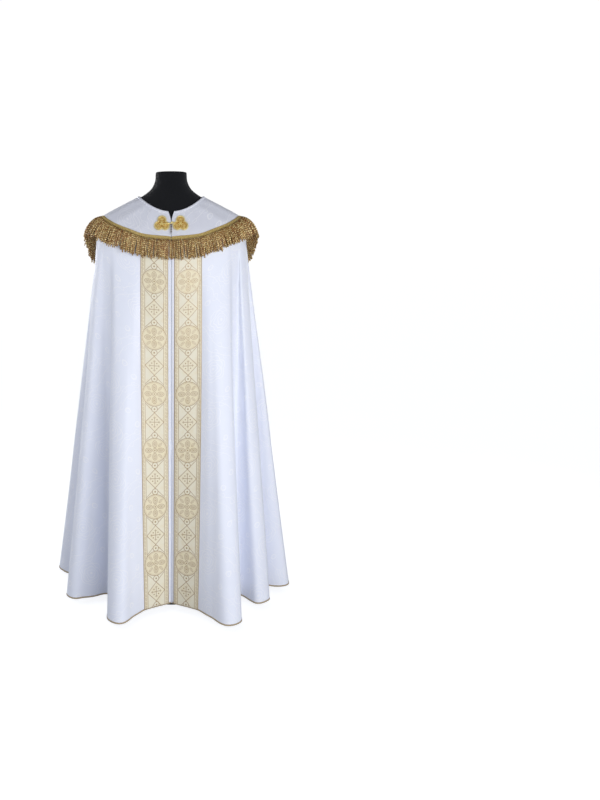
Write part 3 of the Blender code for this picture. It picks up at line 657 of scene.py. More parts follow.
class Shape:
    """Squares gathered for one piece. Points that meet are merged when the piece is made."""

    def __init__(self):
        self.points, self.faces, self.maps, self.slots = [], [], [], []
        self.count = 0

    def add_grid(self, grid, cut, slot=0, inward=False):
        """Add a grid of points with its map. Its faces look out of the garment, or inwards."""
        rows, columns = grid.shape[:2]
        row, column = np.meshgrid(np.arange(rows - 1), np.arange(columns - 1), indexing="ij")
        row, column = row.ravel(), column.ravel()
        corners = [(row, column), (row + 1, column), (row + 1, column + 1), (row, column + 1)]
        if not inward:
            corners = corners[::-1]
        self.points.append(grid.reshape(-1, 3))
        self.faces.append(np.stack([self.count + r * columns + c for r, c in corners], axis=1))
        self.maps.append(np.stack([cut[r, c] for r, c in corners], axis=1))
        self.slots.append(np.full(len(row), slot))
        self.count += rows * columns

    def make(self, name, *finishes, sharp=None):
        """One object with these finishes. Edges sharper than an angle in degrees stay crisp."""
        faces = np.concatenate(self.faces)
        mesh = bpy.data.meshes.new(name)
        mesh.vertices.add(self.count)
        mesh.vertices.foreach_set("co", np.concatenate(self.points).astype(np.float32).ravel())
        mesh.loops.add(faces.size)
        mesh.loops.foreach_set("vertex_index", faces.astype(np.int32).ravel())
        mesh.polygons.add(len(faces))
        mesh.polygons.foreach_set("loop_start", np.arange(0, faces.size, 4, dtype=np.int32))
        mesh.polygons.foreach_set("material_index", np.concatenate(self.slots).astype(np.int32))
        mesh.uv_layers.new(name="cut")
        cut = np.concatenate(self.maps).astype(np.float32)
        mesh.uv_layers["cut"].data.foreach_set("uv", cut.ravel())
        mesh.update(calc_edges=True)
        work = bmesh.new()
        work.from_mesh(mesh)
        bmesh.ops.remove_doubles(work, verts=work.verts, dist=MERGE_DISTANCE)
        work.to_mesh(mesh)
        work.free()
        mesh.shade_smooth()
        if sharp:
            mesh.set_sharp_from_angle(angle=math.radians(sharp))
        for finish in finishes:
            mesh.materials.append(finish)
        return new_object(name, mesh)


def cloth_wall(shape, grid, lift, thickness, cut, slot=0, lining=None):
    """A wall of cloth over a grid, closed all round. Its inner face may be of another cloth."""
    normals = outward_normals(grid)
    inner, outer = grid + normals * lift, grid + normals * (lift + thickness)
    shape.add_grid(outer, cut, slot)
    shape.add_grid(inner, cut, slot if lining is None else lining, inward=True)
    edges = ((np.s_[:, :1], 1, False), (np.s_[:, -1:], 1, True),
             (np.s_[:1], 0, False), (np.s_[-1:], 0, True))
    for line, axis, inward in edges:
        rim = np.concatenate([inner[line], outer[line]], axis=axis)
        shape.add_grid(rim, np.concatenate([cut[line], cut[line]], axis=axis), slot, inward=inward)


def raise_along(shape, surface, path, profile, slot=0, scale=None, crest=None, facing=180):
    """A raised form laid on a surface along a flat path of (x, z) places.

    The profile's points are (sideways, outwards) from the path, in order over its crest from one
    side to the other, and round below it for a wire. Scale widens it at each place and crest
    heightens it."""
    path, profile = np.asarray(path, float), np.asarray(profile, float)
    scale = np.ones(len(path)) if scale is None else np.asarray(scale, float)
    crest = scale if crest is None else np.asarray(crest, float)
    steps = np.gradient(path, axis=0)
    if np.allclose(path[0], path[-1]):
        steps[0] = steps[-1] = path[1] - path[-2]
    side = unit(steps)[:, ::-1] * (1, -1)
    sideways = profile[:, :1] * scale
    x, z = (path[:, axis] + side[:, axis] * sideways for axis in (0, 1))
    base = profile[:, 1].min()
    grid = surface(x, z, base + (profile[:, 1:] - base) * crest)
    cut = pair_up(running_length(profile)[:, None], running_length(path))
    shape.add_grid(grid, cut, slot, inward=facing == 0)


def crown(half_width, low, high, count=7):
    """A profile round a padded form: rounded up to its crest and flat beneath."""
    angle = np.append(np.linspace(pi, 0, count), pi)
    return circle(angle) * (half_width, high - low) + (0, low)


def wire(radius, middle, sides=8):
    """A profile all round a wire whose middle is this far out."""
    angle = np.linspace(pi, -pi, sides + 1)
    return radius * circle(angle) + (0, middle)


def ends_drawn(count, taken):
    """Shares for a form's width along its path: full, and drawn in to nothing at each end."""
    place = np.clip(np.minimum(np.arange(count), np.arange(count)[::-1]) / taken, 0, 1)
    return np.sqrt(1 - (1 - place) ** 2)


def ends_closed(grid, cut):
    """A grid whose first direction runs round a section, with both its ends gathered to a point."""
    first, last = (grid[:, place].mean(axis=0) + 0 * grid[:, place] for place in (0, -1))
    grid = np.concatenate([first[:, None], grid, last[:, None]], axis=1)
    return grid, np.concatenate([cut[:, :1], cut, cut[:, -1:]], axis=1)


def tube(shape, path, radii, sides=8, slot=0):
    """A round bar along a path in space, with a radius at each of its places."""
    path = np.asarray(path, float)
    tangents = unit(np.gradient(path, axis=0))
    if np.allclose(path[0], path[-1]):
        tangents[0] = tangents[-1] = unit(path[1] - path[-2])
    axes = [unit(np.cross(tangents[0], np.eye(3)[np.argmin(abs(tangents[0]))]))]
    for tangent in tangents[1:]:
        axes.append(unit(axes[-1] - tangent * (axes[-1] @ tangent)))
    if np.allclose(path[0], path[-1]):
        axes[-1] = axes[0]
    axes = np.array(axes)
    others = np.cross(tangents, axes)
    angle = np.linspace(0, tau, sides + 1)
    round_it = axes[:, None] * np.cos(angle)[:, None] + others[:, None] * np.sin(angle)[:, None]
    grid = path[:, None] + round_it * np.broadcast_to(radii, len(path))[:, None, None]
    shape.add_grid(grid, pair_up(angle * np.max(radii), running_length(path)[:, None]), slot)


def turned(shape, profile, sides=96, slot=0):
    """A form turned round an upright axis, from a profile of (radius, height) that runs down."""
    profile = np.asarray(profile, float)
    angle = np.linspace(0, -tau, sides + 1)
    radius, height = profile[:, :1], profile[:, 1:]
    grid = np.stack([radius * np.cos(angle), radius * np.sin(angle), height + 0 * angle], axis=-1)
    cut = pair_up(-angle * profile[:, 0].max(), running_length(profile)[:, None])
    shape.add_grid(grid, cut, slot)


# ---- Finishes ----

# Colours as they look on a screen. A pair runs from a finish's darkest to its lightest.
MANTLE_WHITES = (230, 234, 247), (236, 240, 252)
# The hood's whites are the mantle's damask painted greyer, as painted shade on the hood's upward-facing
# slope.
HOOD_PAINTED_SHADE_WHITES = (217, 219, 230), (223, 225, 235)
GALLOON_CREAM, GALLOON_GOLD = (232, 226, 206), (228, 205, 140)
GALLOON_BROWN = (168, 138, 96)
OUTLINE_GOLDS = (146, 118, 38), (204, 174, 72)
BRIGHT_GOLDS = (194, 164, 50), (238, 214, 104)
PALE_GOLDS = (196, 176, 120), (240, 230, 190)
BULLION_GOLDS = (150, 86, 26), (255, 227, 142)
# The bullion's painted shade in the twist's hollows, and its painted glint on the turns.
BULLION_PAINTED_SHADE, BULLION_PAINTED_GLINT = (98, 55, 20), (255, 240, 190)
# The clasp's plate is painted darker gold than its wires, as painted shade between them.
PLATE_PAINTED_SHADE_GILTS = (192, 130, 44), (236, 184, 88)
WIRE_GILTS = (246, 212, 92), (255, 250, 190)
CHAIN_BROWNS = (52, 38, 22), (118, 90, 52)
SEWING_CREAM = (214, 204, 176)

# The damask's figure, in metres. A rose's petals are the humps of a sine, two to each turn of it.
ROSE_STEP, ROSE_DROP = 0.128, 0.176  # the repeat, round and down
FIGURE_WANDER = 0.017  # how far the drawing strays from its repeat
RoseRound = namedtuple("RoseRound", "reach half_petals turned swell")
ROSE_ROUNDS = (RoseRound(0.034, 3.0, 0.0, 0.007), RoseRound(0.0265, 2.5, 0.7, 0.006),
               RoseRound(0.0185, 2.0, 0.3, 0.005), RoseRound(0.011, 1.5, 0.9, 0.003))
ROSE_HEART = 0.0042
PETAL_LINE, LEAF_LINE, STEM_LINE = 0.0021, 0.0019, 0.0014
CURL_OFFSET, CURL_REACH = 0.021, 0.024
CURL_BASE, CURL_WINDING = 2.7, 0.55
STEM_OFFSET, STEM_SWING, LEAF_REACH = 0.052, 0.012, 0.0105
WARP_STEP, WEFT_STEP = 0.0009, 0.0011

# The galloon's ornament, in metres from the middle of a roundel or of a diamond.
GALLOON_REPEAT = 0.189  # from one roundel to the next
ROUNDEL_RADIUS, ROUNDEL_RIM, ROUNDEL_INNER_RIM = 0.04, 0.0405, 0.0366
PETAL_MIDDLE, PETAL_STRETCH = 0.0212, 1.45
PETAL_OUTER, PETAL_INNER, PETAL_HEART = 0.0112, 0.0062, 0.0026
LEAF_MIDDLE, LEAF_STRETCH, LEAF_EDGE, LEAF_VEIN = 0.0265, 2.0, 0.0072, 0.004
FLOWER_RING, FLOWER_HEART = 0.0068, 0.0026
LINK_MIDDLE, LINK_RING, LINK_DOT = 0.0505, 0.0098, 0.003
DIAMOND_REACH, FORK_REACH, FIELD_REACH = 0.0315, 0.0305, 0.031
CROSSLET_REACH, CROSSLET_TIP, CROSSLET_TIP_REACH, CROSSLET_DOT = 0.019, 0.013, 0.005, 0.0085
RAIL, LEAFY_ROW, GALLOON_EDGE = 0.0318, 0.0392, 0.0458
LEAFY_STEP, LEAFY_STRETCH, LEAFY_EDGE, LEAFY_HEART = 0.0126, 0.62, 0.0042, 0.0014
BROAD_LINE, LINE, FINE_LINE, HAIR_LINE = 0.0022, 0.002, 0.0018, 0.0012
SLANT = 0.7071  # of a line at 45 degrees

# Ribs, threads and stitches, from one to the next, in metres.
GALLOON_RIB, EMBLEM_RIB, SATIN_THREAD = 0.0009, 0.0014, 0.0011
TWIST_STEP = 0.005
HEADING_CHEVRON, HEADING_PLAIT, BRAID_PLAIT = 0.006, 0.0026, 0.003
JERSEY_WALE, JERSEY_COURSE = 0.0022, 0.0019


def damask_figure(tree, place, x, y):
    """How strongly the satin figure shows on the matt ground: roses, curls and leafy stems."""
    x = x + (tree.noise(place, 24.0) - 0.5) * FIGURE_WANDER
    y = y + (tree.noise(place, 17.0) - 0.5) * FIGURE_WANDER
    column = tree.math("FLOOR", x / ROSE_STEP)
    across = tree.repeat(x, ROSE_STEP)
    along = tree.repeat(y + column * (ROSE_DROP / 2), ROSE_DROP)
    radius = tree.length(across, along)
    angle = tree.math("ARCTAN2", along, across)
    # A full rose: four rounds of outlined petals, each turned from the last, and a round heart.
    rims = []
    for petals in ROSE_ROUNDS:
        scallop = abs(tree.math("SINE", angle * petals.half_petals + petals.turned))
        rims.append(tree.line(radius - petals.reach - scallop * petals.swell, PETAL_LINE))
    rose = tree.larger(*rims, tree.inside(radius, ROSE_HEART))
    # Paired curls stand between one rose and the next down the cloth.
    curl_x, curl_y = abs(across) - CURL_OFFSET, ROSE_DROP / 2 - abs(along)
    curl_radius = tree.length(curl_x, curl_y)
    wound = tree.math("ARCTAN2", curl_y, curl_x) / tau
    wound = wound + tree.math("LOGARITHM", curl_radius, CURL_BASE) * CURL_WINDING
    curl = tree.inside(abs(tree.repeat(wound, 1.0)), 0.13, 0.04)
    curl = curl * tree.inside(curl_radius, CURL_REACH, 0.001)
    # A stem waves between the columns, and its leaves open out on both sides of it.
    stem = abs(across) - STEM_OFFSET - tree.wave(along, ROSE_DROP) * STEM_SWING
    leaf = tree.larger(tree.wave(along, ROSE_DROP / 4), 0.0)
    leaves = tree.line(abs(stem) - leaf * LEAF_REACH, LEAF_LINE)
    return tree.larger(rose, curl, leaves, tree.line(stem, STEM_LINE))


def make_damask(name, whites):
    """Damask between two near whites: a satin figure, smoother than its matt ground, that is also painted
    lighter as painted sheen.
    """
    tree = Finish(name, sheen_weight=0.25, sheen_roughness=0.4, specular_ior_level=0.45)
    place, x, y = tree.surface_map()
    figure = damask_figure(tree, place, x, y)
    # Painted sheen: the satin figure is painted lighter than the ground, unevenly over the cloth.
    shown = figure * (0.55 + tree.noise(place, 5.0) * 0.9)
    ground = tree.dyed(tree.noise(place, 7.0, detail=3.0), *whites)
    colour = tree.blend(shown * 0.38, ground, dye(252, 252, 254))
    weave = tree.wave(y, WEFT_STEP) * tree.wave(x, WARP_STEP)
    height = figure * 0.8 + weave * 0.1 + tree.noise(place, 900.0, detail=1.0) * 0.15
    return tree.paint(colour, roughness=0.5 - figure * 0.16, height=height, depth=0.0002)


def make_lining():
    """Plain white sateen on the mantle's inner face."""
    tree = Finish("white_lining", sheen_weight=0.15, sheen_roughness=0.5)
    _, x, y = tree.surface_map()
    slubs = tree.noise(tree.place(x * 8.0, y), 90.0, detail=3.0)
    return tree.paint(
        tree.dyed(slubs, (206, 210, 224), (222, 225, 236)), roughness=0.42 + slubs * 0.12,
        height=slubs, depth=0.0001)


def galloon_rosette(tree, side, near, round_it):
    """Four long petals with a smaller one inside each, a leaf between two, and a small flower."""
    long, short = tree.larger(side, near), tree.smaller(side, near)
    petal = tree.length(long - PETAL_MIDDLE, short * PETAL_STRETCH)
    along, across = (side + near) * SLANT - LEAF_MIDDLE, abs(side - near) * SLANT
    leaf = tree.length(along, across * LEAF_STRETCH)
    return tree.larger(
        tree.line(petal - PETAL_OUTER, LINE), tree.line(petal - PETAL_INNER, FINE_LINE),
        tree.inside(petal, PETAL_HEART),
        tree.line(leaf - LEAF_EDGE, FINE_LINE),
        tree.line(across, HAIR_LINE) * tree.inside(abs(along), LEAF_VEIN),
        tree.line(round_it - FLOWER_RING, 0.0016), tree.inside(round_it, FLOWER_HEART),
    )


def galloon_crosslet(tree, side, far):
    """The small cross inside a diamond: arms with forked tips, and a dot between two arms."""
    wide, narrow = tree.larger(side, far), tree.smaller(side, far)
    arms = tree.line(narrow, LINE) * tree.inside(wide, CROSSLET_REACH)
    tips = tree.line(wide - CROSSLET_TIP - narrow * 0.7, 0.0016)
    tips = tips * tree.inside(narrow, CROSSLET_TIP_REACH)
    dots = tree.inside(tree.length(side - CROSSLET_DOT, far - CROSSLET_DOT), 0.0023)
    return tree.larger(arms, tips, dots)


def galloon_lines(tree, across, along):
    """How strongly the galloon's brown lines and its gold figures show at a place on it.

    Roundels with a rosette, small rings and diamonds follow each other between two leafy borders."""
    side = abs(across)
    # Distances along from the nearest roundel and from the nearest diamond.
    near = abs(tree.repeat(along + GALLOON_REPEAT / 2, GALLOON_REPEAT))
    far = GALLOON_REPEAT / 2 - near
    round_it = tree.length(side, near)
    roundel = tree.inside(round_it, ROUNDEL_RADIUS)
    rims = tree.larger(tree.line(round_it - ROUNDEL_RIM, BROAD_LINE),
                       tree.line(round_it - ROUNDEL_INNER_RIM, 0.001) * 0.6)
    rosette = galloon_rosette(tree, side, near, round_it) * roundel
    # A small ring with a dot stands between a roundel and a diamond.
    link = tree.length(side, near - LINK_MIDDLE)
    links = tree.larger(tree.line(link - LINK_RING, BROAD_LINE), tree.inside(link, LINK_DOT))
    # The diamond's sides run on round the ring as a fork.
    diamond = side + far - DIAMOND_REACH
    sides = tree.line(diamond * 0.72, 0.0021) * tree.inside(side, DIAMOND_REACH)
    fork = tree.line((far - side - DIAMOND_REACH) * 0.72, FINE_LINE)
    fork = fork * tree.inside(side, FORK_REACH)
    fork = fork * (1.0 - roundel) * (1.0 - tree.inside(link, LINK_RING))
    crosslet = galloon_crosslet(tree, side, far)
    # Borders: thin lines with slanting leaf dashes between them, cut by the roundels.
    rail = tree.line(side - RAIL, FINE_LINE)
    leafy = tree.length((side - LEAFY_ROW) / LEAFY_STRETCH, tree.repeat(along + across * 0.5, LEAFY_STEP))
    leafy = tree.larger(tree.line(leafy - LEAFY_EDGE, FINE_LINE), tree.inside(leafy, LEAFY_HEART))
    border = tree.larger(rail, leafy * 0.8) * (1.0 - roundel)
    edge = tree.line(side - GALLOON_EDGE, 0.0026)
    drawn = tree.larger(edge, rims, rosette, links, sides, fork, crosslet, border)
    gold = tree.larger(roundel * 0.24, tree.inside(diamond, 0.0) * 0.12,
                       (1.0 - tree.inside(side, FIELD_REACH)) * 0.14)
    return drawn, gold


def make_galloon(name, roundel_at):
    """Woven galloon, with a roundel this far down its map."""
    tree = Finish(name, sheen_weight=0.1, specular_ior_level=0.5)
    place, across, along = tree.surface_map()
    drawn, gold = galloon_lines(tree, across, along - roundel_at)
    worn = tree.noise(place, 45.0, detail=4.0)
    ground = tree.dyed(gold, GALLOON_CREAM, GALLOON_GOLD)
    ground = tree.blend(tree.fade(worn, 0.45, 0.75) * 0.35, ground, dye(224, 208, 166))
    colour = tree.blend(drawn * (0.64 + worn * 0.36), ground, dye(*GALLOON_BROWN))
    height = drawn * 0.9 + gold * 0.25 + tree.ribs(along, GALLOON_RIB) * 0.1
    return tree.paint(
        colour, roughness=0.5 - drawn * 0.12 - gold * 0.08,
        metallic=drawn * 0.25 + gold * 0.12, height=height, depth=0.00022)


def make_thread_satin(name, golds, roughness=0.36, metallic=0.35):
    """Embroidery in satin stitch: gleaming threads that run across each form."""
    tree = Finish(name, metallic=metallic, specular_ior_level=0.6)
    place, across, along = tree.surface_map()
    uneven = tree.noise(place, 400.0)
    # Painted shade and sheen: each thread is painted lighter on its crest and darker in the hollows between
    # threads, with soft streaks of painted sheen.
    threads = tree.ribs(along + uneven * 0.0006, SATIN_THREAD)
    sheen = tree.noise(tree.place(along * 3.0, across), 120.0)
    return tree.paint(
        tree.dyed(threads * 0.6 + sheen * 0.4, *golds),
        roughness=roughness + uneven * 0.12, height=threads, depth=0.00018)


def make_beige_satin():
    """Beige satin with a fine rib, behind the embroidered cross."""
    tree = Finish("emblem_satin", sheen_weight=0.15, specular_ior_level=0.5)
    place, _, along = tree.surface_map()
    ribs = tree.ribs(along, EMBLEM_RIB)
    cloudy = tree.noise(place, 38.0, detail=3.0)
    # The fine ribs are painted lighter on their crests and darker in their hollows, as painted shade; the
    # cloudy tone is the satin's own.
    return tree.paint(
        tree.dyed(cloudy * 0.6 + ribs * 0.4, (216, 197, 148), (230, 214, 170)),
        roughness=0.46 + cloudy * 0.08, height=ribs, depth=0.00012)


def make_fringe_thread():
    """Twisted bullion: each strand has its own gold, its twist is painted dark in its hollows as painted
    shade, and painted glints and glitter lie on its turns.
    """
    tree = Finish("fringe_bullion", specular_ior_level=0.7)
    _, round_it, down = tree.surface_map()
    twist = tree.ribs(round_it + down / TWIST_STEP, 1.0)
    tint = tree.add("ShaderNodeAttribute", {"attribute_name": "tint"}, output=2)
    # Painted glitter and glints on the strands, and painted shade in the twist's hollows.
    painted_glitter = tree.noise(tree.place_on_piece(), 180.0, roughness=0.6)
    painted_glitter = tree.fade(painted_glitter, 0.445, 0.585)
    body = tree.dyed(tint * 0.42 + painted_glitter * 0.58, *BULLION_GOLDS)
    colour = tree.blend(tree.fade(twist, 0.0, 0.62), dye(*BULLION_PAINTED_SHADE), body)
    painted_glint = tree.fade(twist, 0.7, 1.0) * painted_glitter
    colour = tree.blend(painted_glint * 0.9, colour, dye(*BULLION_PAINTED_GLINT))
    return tree.paint(
        colour, roughness=0.44 - twist * 0.16, metallic=twist * 0.3, height=twist, depth=0.0005)


def make_heading():
    """The fringe's woven heading: olive gold, plaited in small chevrons."""
    tree = Finish("fringe_heading", specular_ior_level=0.6)
    place, across, along = tree.surface_map()
    plait = tree.ribs(along + abs(tree.repeat(across, HEADING_CHEVRON)), HEADING_PLAIT)
    uneven = tree.fade(tree.noise(place, 240.0), 0.35, 0.65)
    # The plait's crests are painted lighter and its hollows darker, as painted shade; the uneven patches
    # are the thread's own tone.
    colour = tree.dyed(plait * 0.6 + uneven * 0.4, (156, 128, 66), (228, 202, 126))
    edge = tree.inside(across, 0.0012, 0.0006)
    colour = tree.blend(edge * 0.6, colour, dye(118, 104, 70))
    return tree.paint(
        colour, roughness=0.46 - plait * 0.1, metallic=plait * 0.25, height=plait, depth=0.0006)


def make_braid():
    """Narrow fawn and gold braid round the hem."""
    tree = Finish("hem_plait", specular_ior_level=0.5)
    _, across, along = tree.surface_map()
    plait = tree.ribs(across + abs(along) * 1.4, BRAID_PLAIT)
    # The colour follows the plait's height: painted lighter on its crests and darker in its hollows, as
    # painted shade.
    colour = tree.dyed(plait, (146, 128, 102), (204, 188, 158))
    return tree.paint(colour, roughness=0.5, metallic=plait * 0.2, height=plait, depth=0.0004)


def make_gilt(name, gilts, metallic):
    """Gilt wire and plate, unevenly rubbed."""
    tree = Finish(name, metallic=metallic, specular_ior_level=0.7)
    rubbed = tree.noise(tree.place_on_piece(), 420.0, detail=3.0, roughness=0.6)
    return tree.paint(
        tree.dyed(rubbed, *gilts), roughness=0.22 + rubbed * 0.22, height=rubbed, depth=0.0001)


def make_jersey():
    """Black knitted jersey: small ribs of stitches, a little lint."""
    tree = Finish("black_knit", sheen_weight=0.06, sheen_roughness=0.5, specular_ior_level=0.22)
    place, across, along = tree.surface_map()
    wale = abs(tree.repeat(across, JERSEY_WALE)) / (JERSEY_WALE / 2)
    loops = tree.ribs(along + wale * 0.0009, JERSEY_COURSE)
    height = (1.0 - wale) * 0.7 + loops * 0.3
    lint = tree.fade(tree.noise(place, 900.0, detail=1.0), 0.72, 0.8)
    shade = tree.dyed(height, (5, 6, 9), (15, 17, 22))
    return tree.paint(
        tree.blend(lint * 0.2, shade, dye(72, 74, 80)),
        roughness=0.84 - height * 0.08, height=height, depth=0.0003)


def make_stand_enamel():
    """Black powder coat with a fine orange-peel texture and a few dull scuffs."""
    tree = Finish("stand_enamel", metallic=0.0, coat_weight=0.25, coat_roughness=0.25)
    place = tree.place_on_piece()
    grain = tree.noise(place, 700.0)
    scuffs = tree.fade(tree.noise(place, 34.0, detail=6.0, roughness=0.7), 0.6, 0.74)
    return tree.paint(
        tree.dyed(scuffs * 0.4, (20, 20, 22), (58, 58, 60)), roughness=0.34 + scuffs * 0.25,
        height=grain, depth=0.00015)


def make_stitch_thread(name, colour):
    """Sewing thread, a little darker in its twist."""
    tree = Finish(name, specular_ior_level=0.5)
    twist = tree.noise(tree.place_on_piece(), 1500.0, detail=1.0)
    darker = tuple(0.8 * share for share in colour)
    return tree.paint(tree.dyed(twist, darker, colour), roughness=0.5, height=twist, depth=0.0001)


# ---- The mantle and what is sewn on it ----

MANTLE_NECK_RADIUS, HOOD_NECK_RADIUS = 0.28, 0.12  # of the neck's curve on the flat cloth
BRAID_STEP, BRAID_END = 0.006, 0.002  # along the hem, and bare at each end
# The braid's section: shares of its width down the cloth, and how far it stands out there.
BRAID_SECTION = ((0.2, 0.0016), (0.26, 0.0026), (0.6, 0.0031), (0.94, 0.0028), (1.0, 0.0018),
                 (1.0, -0.0008), (0.7, -0.0012), (0.5, -0.0004))


def make_mantle(grid, cut, damask, lining):
    """The mantle's wall of damask, lined on its inner face."""
    shape = Shape()
    cloth_wall(shape, grid, 0.0, MANTLE_THICKNESS, cut, lining=1)
    return shape.make("mantle_cloth", damask, lining)


def first_orphrey_row():
    """The mantle's row at which the orphreys begin."""
    return int(YOKE_ROWS * ORPHREY_START / UPPER_ARM)


def make_orphrey(grid, side, galloon):
    """The galloon down one front edge, on the wearer's right or left."""
    columns = slice(2, STRIP_COLUMNS + 3) if side == "right" else slice(-STRIP_COLUMNS - 3, -2)
    strip = grid[first_orphrey_row():, columns]
    shape = Shape()
    cloth_wall(shape, strip, TRIM_LIFT, TRIM_THICKNESS, strip_map(strip))
    return shape.make(f"orphrey_{side}", galloon)


def make_hem_braid(grid, braid):
    """The braid round the hem, its lower edge rolled under the cloth's edge."""
    rows = grid[-2:]
    lengths = running_length(rows[1])
    at = np.arange(BRAID_END, lengths[-1] - BRAID_END, BRAID_STEP)
    top, hem = read_curve(lengths, rows[0], at), read_curve(lengths, rows[1], at)
    down = hem - top
    out = unit(np.cross(np.gradient(hem, axis=0), down))
    lines = [top + down * share + out * lift for share, lift in BRAID_SECTION]
    across = np.array([share * BRAID_WIDTH for share, _ in BRAID_SECTION] + [0.0])[:, None]
    shape = Shape()
    shape.add_grid(*ends_closed(np.array(lines + lines[:1]), pair_up(at, across)))
    return shape.make("hem_braid_plait", braid)


# ---- The hood and what is sewn on it ----

BAND_COLUMNS = 16
UPRIGHT_ROWS, LEVEL_COLUMNS = 89, 49
BAND_TUCK = 0.002  # how far a band's end stays above the heading
LEVEL_TUCK = 0.001  # how far the level band goes in under the upright one
LEVEL_END = 0.4  # degrees from the heading to the level band's outer end
BINDING_POINTS, BINDING_ROW = 200, 6
# The binding's section: how far below the neckline, and how far out, each line of it lies.
BINDING_SECTION = ((0.007, 0.005), (0.0068, 0.0058), (0.003, 0.0064), (-0.0004, 0.0058),
                   (-0.0018, 0.003), (-0.001, 0.0002), (0.002, -0.0006), (0.007, -0.0006),
                   (0.007, 0.005))


def hood_places():
    """The turns and heights of the hood's grid, from the neckline to its edge."""
    around = np.linspace(0, 1, HOOD_COLUMNS + 1)
    turns, heights = [], []
    for down in np.linspace(0, 1, HOOD_ROWS + 1) ** HOOD_ROW_SPREAD:
        turn = 360 * around
        for _ in range(EDGE_ROUNDS):
            top = cape_row_z(0, turn)
            z = top + (hood_edge_z(turn) - top) * down
            start = edge_turn(np.where(around < 0.5, z[0], z[-1]))
            turn = start + (360 - 2 * start) * around
        turns.append(turn)
        heights.append(z)
    return np.array(turns), np.array(heights)


def make_hood(damask):
    """The hood's wall of damask, and its inner face's grid."""
    turns, heights = hood_places()
    grid = on_hood(turns, heights, 0.0)
    shape = Shape()
    cloth_wall(shape, grid, HOOD_LIFT, HOOD_THICKNESS, cut_map(grid, HOOD_NECK_RADIUS))
    return shape.make("hood_cloth", damask), grid


def make_neck_binding(grid, damask):
    """A narrow binding of the same cloth, folded over the neckline's edges."""
    lengths = running_length(grid[0])
    at = np.linspace(0, lengths[-1], BINDING_POINTS)
    top = read_curve(lengths, grid[0], at)
    below = read_curve(lengths, grid[BINDING_ROW], at)
    down = unit(below - top)
    out = unit(np.cross(np.gradient(top, axis=0), down))
    lines = np.array([top + down * drop + out * lift for drop, lift in BINDING_SECTION])[::-1]
    across = running_length(np.array(BINDING_SECTION))[::-1, None]
    shape = Shape()
    shape.add_grid(*ends_closed(lines, pair_up(at, across)))
    return shape.make("neck_binding", damask)


def make_vertical_band(galloon):
    """From the neckline to the heading of the fringe, down the middle of the hood's back."""
    half = HOOD_GALLOON_WIDTH / 2
    x = np.linspace(-half, half, BAND_COLUMNS + 1)
    top_turn = turn_at(x, np.full_like(x, CAPE_RINGS[0].z_back), 180)
    tip_turn = turn_at(x, np.full_like(x, HEADING_HEIGHTS[-1]), 180)
    top, bottom = cape_row_z(0, top_turn), heading_z(tip_turn) - BAND_TUCK
    z = top + (bottom - top) * np.linspace(0, 1, UPRIGHT_ROWS + 1)[:, None]
    grid = on_back(x + 0 * z, z, 0.0)
    # The map counts from the emblem's middle.
    cut, middle = strip_map(grid), BAND_COLUMNS // 2
    cut[..., 1] -= np.interp(-EMBLEM_Z, -z[:, middle], cut[:, middle, 1])
    shape = Shape()
    cloth_wall(shape, grid, HOOD_TRIM_LIFT, TRIM_THICKNESS, cut)
    return shape.make("hood_galloon_upright", galloon)


def heading_turns(z):
    """The turns on the wearer's right at which the heading's upper edge has these heights."""
    turns = np.linspace(90, 180, CURVE_POINTS)
    return np.interp(z, heading_z(turns)[::-1], turns[::-1])


def make_level_band(galloon):
    """The level band, in two lengths from the upright band to the heading of the fringe."""
    half = HOOD_GALLOON_WIDTH / 2
    z = np.linspace(EMBLEM_Z + half, EMBLEM_Z - half, BAND_COLUMNS + 1)[:, None]
    outer = heading_turns(z) - LEVEL_END
    inner = turn_at(np.full_like(z, -half + LEVEL_TUCK), z, 180)
    right = outer + (inner - outer) * np.linspace(0, 1, LEVEL_COLUMNS + 1)
    shape = Shape()
    for side, turn in (("right", right), ("left", 360 - right[:, ::-1])):
        grid = on_hood(turn, z + 0 * turn, 0.0)
        along = lengths_along(grid)
        along = along - along[:, -1:] - half if side == "right" else along + half
        cloth_wall(shape, grid, HOOD_TRIM_LIFT, TRIM_THICKNESS, pair_up(z - EMBLEM_Z, along))
    return shape.make("hood_galloon_level", galloon)


# ---- The emblem ----

LOBE_SPOKES, CORNER_SPOKES = 14, 6  # in each eighth of the outline
SATIN_RINGS, UNDER_RINGS = 14, 8  # on the satin's face and on its back
SATIN_INSET, SATIN_SINK = 0.001, 0.0004  # its edge and its back stay hidden
BORDER_LOW, BORDER_TOP = RAISED_LIFT - 0.0012, 0.0108
BORDER_CORD, BORDER_CORD_LIFT = 0.0008, 0.0088
PADDING_LOW = 0.0078  # where the embroidery's padding meets the satin
ARM_TOP, SPEAR_TOP, LEAF_TOP = 0.0096, 0.0098, 0.0102
BAR_LOW, BAR_TOP, CORD_LIFT = 0.009, 0.0122, 0.0096

